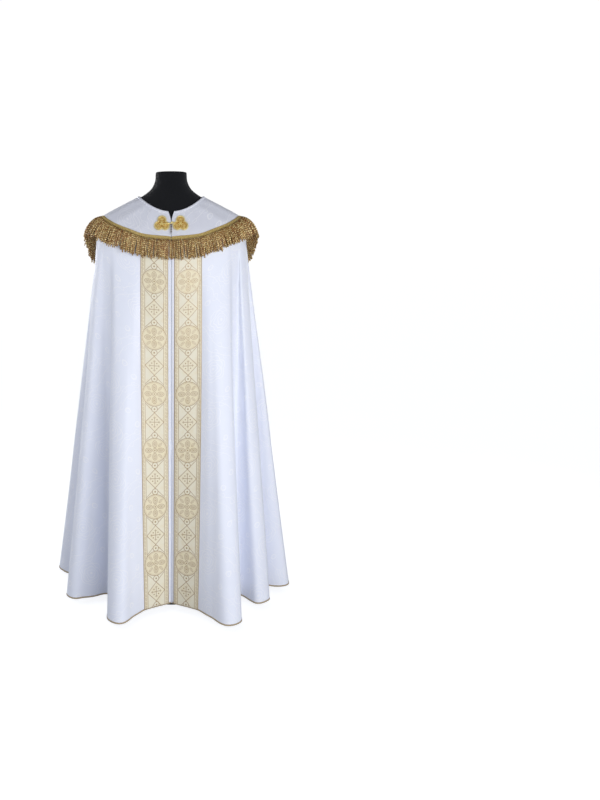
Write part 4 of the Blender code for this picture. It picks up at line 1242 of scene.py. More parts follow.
# One arm of the cross, pointing up, in metres (sideways, up) from the middle.
Form = namedtuple("Form", "kind half_width places")
MIDDLE_FORMS = (
    Form("padded", 0.0125, ((0, 0.012), (0, 0.05), (0, 0.084))),
    Form("bar", 0.0042, ((0, 0.004), (0, 0.045), (0, 0.091))),
)
SIDE_FORMS = (  # on one side of the arm; the other side has the same turned over
    # The cord beside the bar, out round the spear's shoulder and up to its point.
    Form("cord", 0.0011, ((0.0078, 0.0078), (0.0078, 0.04), (0.008, 0.074), (0.0108, 0.082),
                          (0.0168, 0.0865), (0.012, 0.094), (0.0052, 0.1005),
                          (0.0004, 0.1075))),
    # The padded arm's own edge.
    Form("cord", 0.0009, ((0.0128, 0.0128), (0.0126, 0.04), (0.0118, 0.074))),
    # A stem that leaves the middle, swells beside the arm and curls out below the spear.
    Form("cord", 0.0013, ((0.015, 0.016), (0.0192, 0.026), (0.019, 0.04), (0.016, 0.052),
                          (0.015, 0.061), (0.0186, 0.0695), (0.0252, 0.072), (0.0292, 0.0675),
                          (0.0262, 0.0632), (0.0226, 0.0652))),
    # Leaves: one rises beside the scroll, one droops below it and one hugs the stem.
    Form("leaf", 0.0021, ((0.0146, 0.06), (0.016, 0.07), (0.021, 0.0775),
                          (0.0262, 0.079))),
    Form("leaf", 0.0019, ((0.016, 0.053), (0.0205, 0.0565), (0.0258, 0.056))),
    Form("leaf", 0.0016, ((0.015, 0.017), (0.0168, 0.03), (0.0164, 0.044),
                          (0.014, 0.056))),
)
SPEAR_HEAD = Form("spear", 0.015, ((0, 0.08), (0, 0.085), (0, 0.087), (0, 0.096), (0, 0.106)))
# How wide the spear head is along its length, in shares of both.
SPEAR_PLACES, SPEAR_WIDTHS = (0, 0.02, 0.18, 0.3, 1), (0, 0.5, 0.95, 1.0, 0)


def emblem_outline():
    """The emblem's outline: angles and radii of four lobes with a square's corners between them."""
    cusp = math.degrees(math.atan2(EMBLEM_LOBE, EMBLEM_SQUARE))
    corner = np.linspace(cusp, 45, CORNER_SPOKES + 1)[1:]
    eighth = np.concatenate([np.linspace(0, cusp, LOBE_SPOKES + 1), corner])
    quarter = np.concatenate([eighth, 90 - eighth[-2:0:-1]])
    from_axis = np.radians(np.minimum(quarter, 90 - quarter))
    reach = EMBLEM_LOBE**2 - (EMBLEM_SQUARE * np.sin(from_axis)) ** 2
    lobe_radius = EMBLEM_SQUARE * np.cos(from_axis) + np.sqrt(np.maximum(reach, 0))
    on_lobe = from_axis <= math.radians(cusp) + SAME_PLACE
    radius = np.where(on_lobe, lobe_radius, EMBLEM_SQUARE / np.cos(from_axis))
    angles = np.concatenate([quarter + 90 * step for step in range(4)] + [[360.0]])
    return np.radians(angles), np.append(np.tile(radius, 4), radius[0])


def make_emblem_ground(satin):
    """The satin behind the cross, with a flat back."""
    angles, outline = emblem_outline()
    rings = np.concatenate([np.linspace(0, 1, SATIN_RINGS), np.linspace(1, 0, UNDER_RINGS)])
    flat = (outline - SATIN_INSET) * rings[:, None]
    face, back = EMBLEM_LIFT + EMBLEM_THICKNESS, EMBLEM_LIFT - SATIN_SINK
    lift = np.where(np.arange(len(rings)) < SATIN_RINGS, face, back)[:, None] + 0 * flat
    x, z = flat * np.cos(angles), flat * np.sin(angles)
    shape = Shape()
    shape.add_grid(on_back(x, EMBLEM_Z + z, lift), pair_up(x, z))
    return shape.make("emblem_satin_ground", satin, sharp=60)


def inset(path, distance):
    """A closed flat path drawn in by a distance, square to itself with mitred corners."""
    steps = unit(np.diff(path, axis=0))
    before = np.concatenate([steps[-1:], steps])
    after = np.concatenate([steps, steps[:1]])
    both = before + after
    inward = unit(np.stack([-both[:, 1], both[:, 0]], axis=1))
    square = np.stack([-after[:, 1], after[:, 0]], axis=1)
    mitre = np.maximum((inward * square).sum(axis=1, keepdims=True), 0.5)
    return path + inward * distance / mitre


def make_emblem_border(gold, dark):
    """A raised border of satin stitch round the emblem's edge, between two fine cords."""
    angles, radii = emblem_outline()
    outline = (0, EMBLEM_Z) + radii[:, None] * circle(angles)
    half = EMBLEM_BORDER / 2
    shape = Shape()
    raise_along(shape, on_back, inset(outline, half), crown(half, BORDER_LOW, BORDER_TOP), 0)
    cord = wire(BORDER_CORD, BORDER_CORD_LIFT, 6)
    for distance in (0.0006, EMBLEM_BORDER):
        raise_along(shape, on_back, inset(outline, distance), cord, 1)
    return shape.make("emblem_satin_border", gold, dark)


def arm_forms():
    """The raised forms of one arm, in the order in which they are sewn."""
    sides = [
        form._replace(places=[(side * x, y) for x, y in form.places])
        for side in (-1, 1) for form in SIDE_FORMS
    ]
    return [*MIDDLE_FORMS, *sides, SPEAR_HEAD]


def make_emblem_cross(dark, gold, light):
    """The embroidered cross: padded gold arms with spear heads, scrolls and a light bar."""
    shape = Shape()
    for quarter in range(4):
        angle = quarter * pi / 2
        cosine, sine = round(math.cos(angle)), round(math.sin(angle))
        for form in arm_forms():
            half = form.half_width
            flat = smooth_curve(form.places, 8 + 5 * len(form.places))
            path = flat @ np.array([[cosine, sine], [-sine, cosine]]) + (0, EMBLEM_Z)
            count = len(path)
            widths = ends_drawn(count, 3)
            if form.kind == "padded":
                profile, slot = crown(half, PADDING_LOW, ARM_TOP, 9), 1
            elif form.kind == "bar":
                profile, slot = crown(half, BAR_LOW, BAR_TOP), 2
            elif form.kind == "spear":
                profile, slot = crown(half, PADDING_LOW, SPEAR_TOP, 9), 1
                widths = np.interp(np.linspace(0, 1, count), SPEAR_PLACES, SPEAR_WIDTHS)
            elif form.kind == "leaf":
                profile, slot = crown(half, PADDING_LOW, LEAF_TOP), 1
                widths = np.sin(np.linspace(0.25, pi, count)) ** 0.8 * ends_drawn(count, 1)
            else:
                profile, slot = wire(half, CORD_LIFT), 0
            raise_along(shape, on_back, path, profile, slot, scale=widths)
    return shape.make("emblem_embroidered_cross", dark, gold, light)


# ---- Strands, stitches, beads and links, each grown from its own point ----

STRAND_SPACING = 0.0047
STRAND_HALF_WIDTH = 0.0025
STRAND_WIDTHS = (0.0, 0.8, 0.95, 1.0, 1.0, 1.02, 1.02, 1.04, 1.04, 1.06, 1.0, 0.0)
# A layer is shifted by a share of the spacing, starts at a share of the heading's width above its
# lower edge, and stands out by its depth. It hangs only where the sine of the turn is this large.
StrandLayer = namedtuple("StrandLayer", "shift start depth sideways")
STRAND_LAYERS = (
    StrandLayer(0.0, 0.42, 0.0034, 0),
    StrandLayer(0.5, 0.15, 0.0012, 0),
    # The last two fill in where the strands spread over the shoulders.
    StrandLayer(0.25, 0.28, 0.0024, 0.4),
    StrandLayer(0.75, 0.2, 0.0018, 0.8),
)
STRAND_SEEDS = {"right": 11, "left": 23}
STRAND_STRAY = 0.09  # degrees, along the heading
STRAND_REACHES = 0.9, 1.03
STRAND_SWAY = 0.003
STRAND_GIRTHS = 0.66, 1.12
STRAND_WANDER = 0.0042
STRAND_BULGE, SHOULDER_BULGE, SHOULDER_RISE = 0.0014, 0.007, 0.0035

HEADING_STEP, HEADING_INSET = 0.004, 0.1  # metres between its points, degrees bare at its ends
HEADING_SIDE, HEADING_FACE, HEADING_CROWN = 0.0016, 0.002, 0.0006
EDGE_CORD, EDGE_CORD_LIFT = 0.001, 0.0018

STITCH_PITCH, STITCH_LENGTH, STITCH_HALF_WIDTH = 0.0042, 0.0026, 0.00032
SEAM_GAP = 0.0001  # keeps the stitches off the cloth
BAND_SEAM_INSET = 0.0016
UPRIGHT_POINTS, LEVEL_POINTS = 300, 200

LINK_THICK = 0.13  # share of a link's length


def growth_tree():
    """Sets a model on every point, hung along the point's direction, to bulge and wander."""
    group = bpy.data.node_groups.new("set_on_points", "GeometryNodeTree")
    group.interface.new_socket("Geometry", in_out="OUTPUT", socket_type="NodeSocketGeometry")
    kinds = {"Geometry": "Geometry", "Model": "Object", "Half Width": "Float", "Bulge": "Float",
             "Wander": "Float", "Finish": "Material"}
    for label, kind in kinds.items():
        group.interface.new_socket(label, in_out="INPUT", socket_type="NodeSocket" + kind)
    tree = Tree(group)
    sockets = group.nodes.new("NodeGroupInput").outputs
    given = {socket.name: Number(tree, socket) for socket in sockets}

    def own(name, kind):
        return tree.add("GeometryNodeInputNamedAttribute", {"data_type": kind}, {"Name": name})

    def vector(operation, *values, output=0):
        settings, inputs = {"operation": operation}, dict(enumerate(values))
        return tree.add("ShaderNodeVectorMath", settings, inputs, output)

    def combined(x, y, z):
        return tree.add("ShaderNodeCombineXYZ", None, {0: x, 1: y, 2: z})

    hang = own("hang", "FLOAT_VECTOR")
    upwards = vector("MULTIPLY", hang, (-1, -1, -1))
    aim = tree.add("FunctionNodeAlignRotationToVector", {"axis": "Z"}, {"Vector": upwards})
    spin = {"Axis": (0, 0, 1), "Angle": own("spin", "FLOAT")}
    turn = {"Rotation": aim, "Rotate By": tree.add("FunctionNodeAxisAngleToRotation", None, spin)}
    aim = tree.add("FunctionNodeRotateRotation", {"rotation_space": "LOCAL"}, turn)
    width = given["Half Width"] * own("girth", "FLOAT")
    size = combined(width, width, vector("LENGTH", hang, output=1))
    settings, inputs = {"transform_space": "ORIGINAL"}, {"Object": given["Model"]}
    model = tree.add("GeometryNodeObjectInfo", settings, inputs, output=4)
    inputs = {"Points": given["Geometry"], "Instance": model, "Rotation": aim, "Scale": size}
    set_out = tree.add("GeometryNodeInstanceOnPoints", None, inputs)
    plain = tree.add("GeometryNodeRealizeInstances", None, {"Geometry": set_out})
    along = own("along", "FLOAT")
    swell = given["Bulge"] * 4.0 * along * (1.0 - along)
    bulge = vector("MULTIPLY", own("out", "FLOAT_VECTOR"), combined(swell, swell, swell))
    inputs = {"Scale": 75.0, "Detail": 1.0}
    drift = tree.add("ShaderNodeTexNoise", None, inputs, output=1)
    drift = vector("SUBTRACT", drift, (0.5, 0.5, 0.5))
    sway = given["Wander"] * along
    wander = vector("MULTIPLY", drift, combined(sway, sway, 0.0))
    inputs = {"Geometry": plain, "Offset": vector("ADD", bulge, wander)}
    moved = tree.add("GeometryNodeSetPosition", None, inputs)
    inputs = {"Geometry": moved, "Material": given["Finish"]}
    done = tree.add("GeometryNodeSetMaterial", None, inputs)
    group.links.new(done.socket, group.nodes.new("NodeGroupOutput").inputs[0])
    return group


def model_object(name, grid, cut, limp):
    """A small closed form to be set on points. Limp is 1 if it may bulge and wander, and 0 if not."""
    shape = Shape()
    shape.add_grid(grid, cut)
    obj = shape.make(name)
    places = np.empty(len(obj.data.vertices) * 3, np.float32)
    obj.data.vertices.foreach_get("co", places)
    along = obj.data.attributes.new("along", "FLOAT", "POINT")
    along.data.foreach_set("value", (-places[2::3] * limp).clip(0, 1))
    return obj


def hanging_model(name, widths, sides=6, flat=1.0, turns=0.0, run=1.0, foot=None):
    """A bar one unit long below the origin, with its half widths down it. Flat is its thinness,
    turns its twists and run its length on the map. A short foot, its last step, is blunt."""
    steps = len(widths) - 1
    share = np.append(np.linspace(0, 1 - (foot or 1 / steps), steps), 1)[:, None]
    widths = np.array(widths)[:, None]
    angle = np.linspace(0, tau, sides + 1)
    x, y = np.cos(angle) * widths, np.sin(angle) * flat * widths
    twist = share * turns * tau
    grid = np.stack([x * np.cos(twist) - y * np.sin(twist), x * np.sin(twist) + y * np.cos(twist),
                     -share + 0 * x], axis=-1)
    cut = pair_up(angle / tau, share * run)
    return model_object(name, grid[:, ::-1], cut[:, ::-1], 1.0)


def link_model():
    """One oval link of a chain, a unit long, hanging from the origin."""
    angle = np.linspace(0, tau, 11)[:, None]
    round_it = np.linspace(0, tau, 6)
    wide, tall = 0.3, 0.5 - LINK_THICK
    middle = np.stack([wide * np.sin(angle), 0 * angle, -0.5 + tall * np.cos(angle)], axis=-1)
    out = unit(np.stack([np.sin(angle) / wide, 0 * angle, np.cos(angle) / tall], axis=-1))
    outwards, forwards = (LINK_THICK * circle(round_it)).T[..., None]
    grid = middle + out * outwards - (0, 1, 0) * forwards
    return model_object("link", grid, pair_up(round_it * 0.1, angle * 0.1), 0.0)


def grow(name, group, model, finish, roots, hang, half_width, out=None, spin=None, girth=None,
         tint=None, bulge=0.0, wander=0.0):
    """One plain mesh of models set on these roots, each hanging along its own vector."""
    mesh = bpy.data.meshes.new(name)
    mesh.from_pydata(np.asarray(roots).tolist(), [], [])
    vectors = {"hang": hang, "out": np.zeros_like(roots) if out is None else out}
    for label, values in vectors.items():
        own = mesh.attributes.new(label, "FLOAT_VECTOR", "POINT")
        own.data.foreach_set("vector", np.ravel(values))
    numbers = {"spin": (spin, 0.0), "girth": (girth, 1.0), "tint": (tint, 0.0)}
    for label, (values, usual) in numbers.items():
        own = mesh.attributes.new(label, "FLOAT", "POINT")
        own.data.foreach_set("value", np.full(len(roots), usual) if values is None else values)
    seeds = new_object(name + "_roots", mesh)
    growth = seeds.modifiers.new("growth", "NODES")
    growth.node_group = group
    given = {"Model": model, "Half Width": half_width, "Bulge": bulge, "Wander": wander, "Finish": finish}
    for socket in group.interface.items_tree:
        if socket.in_out == "INPUT" and socket.name in given:
            growth[socket.identifier] = given[socket.name]
    graph = bpy.context.evaluated_depsgraph_get()
    grown = seeds.evaluated_get(graph)
    plain = bpy.data.meshes.new_from_object(grown, preserve_all_data_layers=True, depsgraph=graph)
    plain.name = name
    bpy.data.objects.remove(seeds, do_unlink=True)
    plain.shade_smooth()
    return new_object(name, plain)


def fringe_start():
    """The turn at which the fringe starts, beside the closure."""
    return edge_turn(np.array([HEADING_HEIGHTS[0]]))[0]


def fringe_turns(side, spacing, shift=0.0):
    """Turns at even stretches of the hood's edge on one side of the garment."""
    start = fringe_start()
    turns = np.linspace(start, 180 - start, CURVE_POINTS)
    lengths = running_length(cape_points(turns, hood_edge_z(turns)))
    at = np.arange(spacing * (0.5 + shift), lengths[-1], spacing)
    turns = np.interp(at, lengths, turns)
    return turns if side == "right" else 360 - turns[::-1]


def shoulder_share(turns):
    """A column of shares: 1 over the shoulders and 0 in front and behind."""
    return np.sin(np.radians(turns))[:, None] ** 4


def heading_section(turns):
    """The heading's upper edge and the way out there, the same for its lower edge, and its flare."""
    top_z, edge_z = heading_z(turns), hood_edge_z(turns)
    upper, lower = cape_points(turns, top_z), cape_points(turns, edge_z)
    flare = HEADER_FLARE * shoulder_share(turns)
    return upper, cape_normals(turns, top_z), lower, cape_normals(turns, edge_z), flare


def make_heading_band(side, finish):
    """The fringe's woven heading: a plaited band with a fine cord along its upper edge."""
    first, last = fringe_start() + HEADING_INSET, 180 - HEADING_INSET
    if side == "left":
        first, last = 360 - last, 360 - first
    turns = np.concatenate([[first], fringe_turns(side, HEADING_STEP), [last]])
    upper, upper_out, lower, lower_out, flare = heading_section(turns)
    face = [(share, HEADING_FACE + HEADING_CROWN * math.sin(pi * share))
            for share in np.linspace(0.06, 0.94, 7)]
    section = [(0.02, 0.0), (0.02, HEADING_SIDE), *face, (0.98, HEADING_SIDE), (0.98, 0.0),
               (0.5, -0.0002), (0.02, 0.0)]
    lines = []
    for share, lift in section:
        out = unit(upper_out * (1 - share) + lower_out * share)
        lift = HEADER_LIFT + lift + flare * share
        lines.append(upper + (lower - upper) * share + out * lift)
    across = np.array([share for share, _ in section])[:, None] * HEADER_WIDTH
    shape = Shape()
    shape.add_grid(*ends_closed(np.array(lines), pair_up(across, running_length(lower))))
    cord = upper + (lower - upper) * 0.05 + upper_out * (HEADER_LIFT + EDGE_CORD_LIFT)
    tube(shape, cord, EDGE_CORD * ends_drawn(len(cord), 1), 6)
    return shape.make(f"fringe_heading_{side}", finish)


def make_strands(side, group, strand, finish):
    """Staggered layers of twisted strands that hang from the heading."""
    chance = np.random.default_rng(STRAND_SEEDS[side])
    roots, hangs, outs = [], [], []
    for layer in STRAND_LAYERS:
        turns = fringe_turns(side, STRAND_SPACING, layer.shift)
        turns = turns[np.abs(np.sin(np.radians(turns))) >= layer.sideways]
        turns = turns + chance.normal(0, STRAND_STRAY, len(turns))
        upper, _, lower, lower_out, flare = heading_section(turns)
        jut = shoulder_share(turns)
        tip_z = hood_edge_z(turns) - STRAND_DROP
        below, tip_out = cape_points(turns, tip_z), cape_normals(turns, tip_z)
        tip_lift = STRAND_TIP_LIFT + STRAND_FLARE * jut + layer.depth * 0.5 - 0.0006
        tip = lower + unit(below - lower) * STRAND_DROP + tip_out * tip_lift
        lift = HEADER_LIFT + flare * (1 - layer.start) + layer.depth
        root = lower + (upper - lower) * layer.start + lower_out * lift
        reach = chance.uniform(*STRAND_REACHES, (len(turns), 1))
        sway = chance.normal(0, STRAND_SWAY, (len(turns), 3))
        roots.append(root)
        hangs.append((tip - root + sway) * reach)
        # At the shoulders a strand first stands out with the heading and then falls.
        bulge = lower_out * (STRAND_BULGE + SHOULDER_BULGE * jut)
        outs.append(bulge + (0, 0, 1) * (SHOULDER_RISE * jut))
    roots, hangs, outs = (np.concatenate(parts) for parts in (roots, hangs, outs))
    count = len(roots)
    # Strands that hang side by side in pairs share most of their shade.
    bunch = np.repeat(chance.uniform(0, 0.5, count // 2 + 1), 2)[:count]
    return grow(
        f"fringe_strands_{side}", group, strand, finish, roots, hangs, STRAND_HALF_WIDTH, out=outs,
        spin=chance.uniform(0, tau, count), girth=chance.uniform(*STRAND_GIRTHS, count),
        tint=chance.uniform(0, 0.5, count) + bunch, bulge=1.0, wander=STRAND_WANDER,
    )


def stitches_along(path, out):
    """Roots, directions and ways out of the stitches along a path in space."""
    lengths = running_length(path)
    at = np.arange(STITCH_PITCH, lengths[-1] - STITCH_PITCH, STITCH_PITCH)
    start, outwards = read_curve(lengths, path, at), read_curve(lengths, out, at)
    hang = read_curve(lengths, path, at + STITCH_LENGTH) - start
    return start + outwards * 0.00012, hang, outwards


def sew(name, rows, group, stitch, thread):
    """One piece of all the stitches in these rows."""
    roots, hangs, outs = (np.concatenate(parts) for parts in zip(*rows))
    return grow(name, group, stitch, thread, roots, hangs, STITCH_HALF_WIDTH, out=outs)


def make_seams(grid, group, stitch, thread):
    """Rows of small stitches down both edges of each orphrey and down the front edges."""
    normals, first = outward_normals(grid), first_orphrey_row()
    face = TRIM_LIFT + TRIM_THICKNESS
    rows = []
    for column, lift in ((1, MANTLE_THICKNESS), (3, face), (STRIP_COLUMNS + 1, face)):
        for place in (column, -column - 1):
            path = (grid + normals * (lift + SEAM_GAP))[first:, place]
            rows.append(stitches_along(path, normals[first:, place]))
    return sew("front_stitches", rows, group, stitch, thread)


def make_band_seams(group, stitch, thread):
    """Rows of small stitches along the edges of the hood's bands."""
    half = HOOD_GALLOON_WIDTH / 2 - BAND_SEAM_INSET
    top, foot = CAPE_RINGS[0].z_back - 0.006, HEADING_HEIGHTS[-1] - 0.004
    upright = np.linspace(top, foot, UPRIGHT_POINTS)
    lines = [(on_back, np.full(UPRIGHT_POINTS, side * half), upright) for side in (-1, 1)]
    for z in (EMBLEM_Z - half, EMBLEM_Z + half):
        inner = turn_at(np.array([-half]), np.array([z]), 180)[0]
        level = np.linspace(heading_turns(z), inner, LEVEL_POINTS)
        lines += [(on_hood, turn, np.full(LEVEL_POINTS, z)) for turn in (level, 360 - level)]
    face = HOOD_TRIM_LIFT + TRIM_THICKNESS
    rows = []
    for surface, one, other in lines:
        path = surface(one, other, face)
        rows.append(stitches_along(path, unit(surface(one, other, face + 0.002) - path)))
    return sew("hood_band_stitches", rows, group, stitch, thread)


# ---- The clasp ----

LOBE_AIMS = pi / 2 + np.arange(3) * tau / 3
LOBE_MIDDLE = 0.0128  # from the clasp's middle to the middle of each lobe
PLATE_LOBE, RIM_LOBE, LOOPED_LOBE = 0.0124, 0.0122, 0.014
# The plate: shares of its outline, and heights over its face and round to its back.
PLATE_SECTION = ((0.0, 0.0072), (0.2, 0.0072), (0.4, 0.007), (0.6, 0.0068), (0.8, 0.0066),
                 (0.94, 0.0065), (1.0, 0.006), (1.0, 0.0048), (0.5, 0.0048), (0.0, 0.0048))
# The clasp's wires: each one's radius, the height of its middle and its number of sides.
RIM_WIRE, ROSETTE_WIRE = (0.0009, 0.0072, 6), (0.0008, 0.0084, 6)
LOOP_WIRE, RING_WIRE, COIL_WIRE = (0.00062, 0.0066, 5), (0.00062, 0.0076, 6), (0.00075, 0.0078, 6)
LOOP_STEPS, LOOP_RADIUS = 12, 0.0017
RING_MIDDLE, RING_RADIUS = 0.0142, 0.009
COIL_AHEAD, COIL_BESIDE = 0.0152, 0.004
COIL_INNER, COIL_UNWOUND, COIL_POINTS = 0.001, 0.0037, 48
TAIL_AHEAD, TAIL_BESIDE = (0.005, 0.0108), (0.0008, 0.0036)
BEAD_RADIUS, BEAD_LIFT, BEAD_RISE = 0.0008, 0.0076, 0.0004
RIM_BEADS = 42
LOBE_BEADS = ((RING_MIDDLE, 1.6), (0.0213, 1.4))  # distances from the middle, and girths

# The hook's wire: places across, up from the clasp's middle, and out from the cape.
HOOK_PLACES = ((-0.03, -0.0012, 0.009), (-0.023, -0.0026, 0.0106), (-0.015, -0.0026, 0.0112),
               (-0.006, -0.001, 0.0112), (0.002, 0.001, 0.0112), (0.0058, 0.003, 0.0104),
               (0.0052, 0.0048, 0.0094), (0.0028, 0.005, 0.0094), (0.0006, 0.0034, 0.0102))
HOOK_POINTS, HOOK_RADIUS, HOOK_END_SHARE = 56, 0.0017, 0.68

LINK_STEP, LINK_LENGTH, LINK_WIDTH = 0.0046, 0.0064, 0.0062


def lobed_outline(middle, lobe, count=145):
    """The outline of three round lobes about a middle, as flat places."""
    angles = np.linspace(0, tau, count)
    from_aim = (angles[:, None] - LOBE_AIMS + pi) % tau - pi
    from_aim = np.abs(from_aim).min(axis=1)
    across = np.minimum(LOBE_MIDDLE * np.sin(from_aim), lobe)
    radii = LOBE_MIDDLE * np.cos(from_aim) + np.sqrt(np.maximum(lobe**2 - across**2, 0))
    return middle + radii[:, None] * circle(angles)


def lay_wire(shape, path, sizes, scale=None):
    """One of the clasp's wires along a flat path."""
    raise_along(shape, on_front, path, wire(*sizes), 1, facing=0, scale=scale)


def fill_lobe(shape, middle, aim):
    """The wires of one lobe: a ring, and a coil in each half, its tail drawn to the rosette."""
    ahead = np.array([math.cos(aim), math.sin(aim)])
    ring = middle + RING_MIDDLE * ahead + RING_RADIUS * circle(np.linspace(0, tau, 41))
    lay_wire(shape, ring, RING_WIRE)
    share = np.linspace(0, 1, 34)
    coil = (COIL_UNWOUND * (1 - share) + COIL_INNER)[:, None]
    for hand in (-1, 1):
        beside = hand * np.array([-math.sin(aim), math.cos(aim)])
        eye = middle + COIL_AHEAD * ahead + COIL_BESIDE * beside
        swing = circle(pi * 0.9 + share * 3.0 * pi)
        path = eye + coil * swing[:, :1] * ahead + coil * swing[:, 1:] * beside
        tail = middle + np.linspace(*TAIL_AHEAD, 6)[:, None] * ahead
        tail = tail + np.linspace(*TAIL_BESIDE, 6)[:, None] * beside
        path = smooth_curve(np.concatenate([tail, path[2:]]), COIL_POINTS)
        lay_wire(shape, path, COIL_WIRE, scale=ends_drawn(COIL_POINTS, 2))


def bead_places(middle, rim):
    """Flat places and girths of the beads: along the rim, in the three lobes and in the middle."""
    lengths = running_length(rim)
    spots = [read_curve(lengths, rim, np.linspace(0, lengths[-1], RIM_BEADS + 1)[:-1])]
    girths = [np.full(RIM_BEADS, 0.9)]
    for distance, girth in LOBE_BEADS:
        spots.append(middle + distance * circle(LOBE_AIMS))
        girths.append(np.full(3, girth))
    return np.concatenate([*spots, middle[None]]), np.concatenate([*girths, [3.0]])


def make_clasp_half(side, group, bead, plate, gilt):
    """A filigree trefoil: a plate painted dark gold, as painted shade, under coiled wires, edged with
    looped wire and beads.
    """
    middle = np.array([CLASP_OFFSET * (-1 if side == "right" else 1), CLASP_Z])
    shares, lifts = np.array(PLATE_SECTION).T
    flat = middle + (lobed_outline(middle, PLATE_LOBE) - middle) * shares[:, None, None]
    lift = lifts[:, None] + 0 * flat[..., 0]
    shape = Shape()
    shape.add_grid(on_front(flat[..., 0], flat[..., 1], lift), flat - middle, 0, inward=True)
    rim = lobed_outline(middle, RIM_LOBE)
    lay_wire(shape, rim, RIM_WIRE)
    # One wire runs round outside the rim in small open loops.
    looped = lobed_outline(middle, LOOPED_LOBE, 33 * LOOP_STEPS + 1)
    swing = np.arange(len(looped)) * (tau / LOOP_STEPS)
    lay_wire(shape, looped + LOOP_RADIUS * circle(swing), LOOP_WIRE)
    for aim in LOBE_AIMS:
        fill_lobe(shape, middle, aim)
    petals = np.linspace(0, tau, 61)
    rosette = 0.0044 + 0.0012 * np.cos(6 * petals)
    lay_wire(shape, middle + rosette[:, None] * circle(petals), ROSETTE_WIRE)
    filigree = shape.make(f"clasp_filigree_{side}", plate, gilt)
    spots, girth = bead_places(middle, rim)
    lift = BEAD_LIFT + BEAD_RISE * girth
    roots = on_front(*spots.T, lift)
    out = unit(on_front(*spots.T, lift + 0.001) - roots)
    reach = out * BEAD_RADIUS * girth[:, None]
    beads = grow(f"clasp_beads_{side}", group, bead, gilt, roots + reach, -2 * reach, BEAD_RADIUS,
                 girth=girth)
    return filigree, beads


def make_hook(gilt):
    """The hook: a wire from the right half that bends up through the left half's eye."""
    curve = smooth_curve(HOOK_PLACES, HOOK_POINTS)
    path = on_front(curve[:, 0], CLASP_Z + curve[:, 1], curve[:, 2])
    slimmer = HOOK_END_SHARE + (1 - HOOK_END_SHARE) * ends_drawn(HOOK_POINTS, 8)
    shape = Shape()
    tube(shape, path, HOOK_RADIUS * slimmer * ends_drawn(HOOK_POINTS, 2), 10)
    eye = (0.0062, CLASP_Z + 0.001) + circle(np.linspace(0, tau, 25)) * (0.0042, 0.0036)
    tube(shape, on_front(*eye.T, np.full(len(eye), 0.0086)), 0.0008, 8)
    return shape.make("clasp_hook_and_eye", gilt)


def make_chain(group, link, gilt):
    """Small oval links, each turned a quarter from the last, hung from the hook."""
    z = CLASP_Z - np.linspace(0.0012, CHAIN_DROP, 400)
    path = on_front(np.zeros_like(z), z, np.full_like(z, 0.01))
    lengths = running_length(path)
    at = np.arange(0, lengths[-1] - 0.006, LINK_STEP)
    roots = read_curve(lengths, path, at)
    hang = read_curve(lengths, path, at + LINK_LENGTH) - roots
    spin = np.arange(len(at)) % 2 * pi / 2
    return grow("clasp_chain_links", group, link, gilt, roots, hang, LINK_WIDTH, spin=spin)


# ---- The dress form and its stand ----

CAP_SHARES, SEAT_SHARES = (0.0, 0.5, 0.93, 0.985), (0.985, 0.5, 0.0)
NECK_SEAM = FormRing(1.488, 0.0541, 0.0551, 0.0521)
# The collar at the pole's foot, its profile all round, and the screw in its back.
COLLAR = ((POLE_RADIUS, 0.046), (0.019, 0.0458), (0.0205, 0.044), (0.0205, 0.022),
          (0.024, 0.018), (0.03, 0.016), (0.032, 0.014), (0.032, 0.0123),
          (POLE_RADIUS - 0.0005, 0.0123), (POLE_RADIUS - 0.0005, 0.046), (POLE_RADIUS, 0.046))
SCREW_Z, SCREW_PLACES, SCREW_RADII = (
    0.034, (-0.0185, -0.019, -0.026, -0.0262), (0.0, 0.0042, 0.0042, 0.0))


def form_ring(ring, turns):
    """Places on one of the form's level rings at these turns."""
    sine, cosine = np.sin(np.radians(turns)), np.cos(np.radians(turns))
    depth = np.where(cosine > 0, ring.front_depth, ring.back_depth)
    return np.stack([-ring.half_width * sine, AXIS_Y - depth * cosine, np.full_like(sine, ring.z)], axis=-1)


def make_form(jersey):
    """Neck, shoulders that fill the cape surface, and a torso down to a flat seat."""
    turns = np.linspace(0, 360, 121)
    rows = [form_ring(ring, turns) for ring in FORM_NECK]
    for place in (0, 0.5, 1, 1.5, 2):
        z = cape_row_z(place, turns)
        rows.append(cape_points(turns, z) - cape_normals(turns, z) * FORM_GAP)
    rows += [form_ring(ring, turns) for ring in FORM_BODY]
    rows = np.array(rows)
    knots = chord_knots(rows[:, len(turns) // 4])
    steps = np.linspace(0, 1, 5)[:-1]
    at = [low + (high - low) * steps for low, high in zip(knots, knots[1:])]
    at = np.concatenate([*at, knots[-1:]])
    columns = [[smooth_value(knots, rows[:, i, axis], at) for axis in range(3)] for i in range(len(turns))]
    grid = np.transpose(columns, (2, 0, 1))
    middle = np.array([0, AXIS_Y, 0])
    cap = [middle + (grid[0] - middle) * (share, share, 1) for share in CAP_SHARES]
    seat = [middle + (grid[-1] - middle) * (share, share, 1) for share in SEAT_SHARES]
    grid = np.concatenate([cap, grid, seat])
    down = np.linalg.norm(np.diff(grid, axis=0), axis=2).mean(axis=1)
    down = np.concatenate([[0], np.cumsum(down)])[:, None]
    shape = Shape()
    shape.add_grid(grid, pair_up(turns * 0.0022, down))
    tube(shape, form_ring(NECK_SEAM, turns), 0.0008, 6)
    return shape.make("dress_form_jersey", jersey)


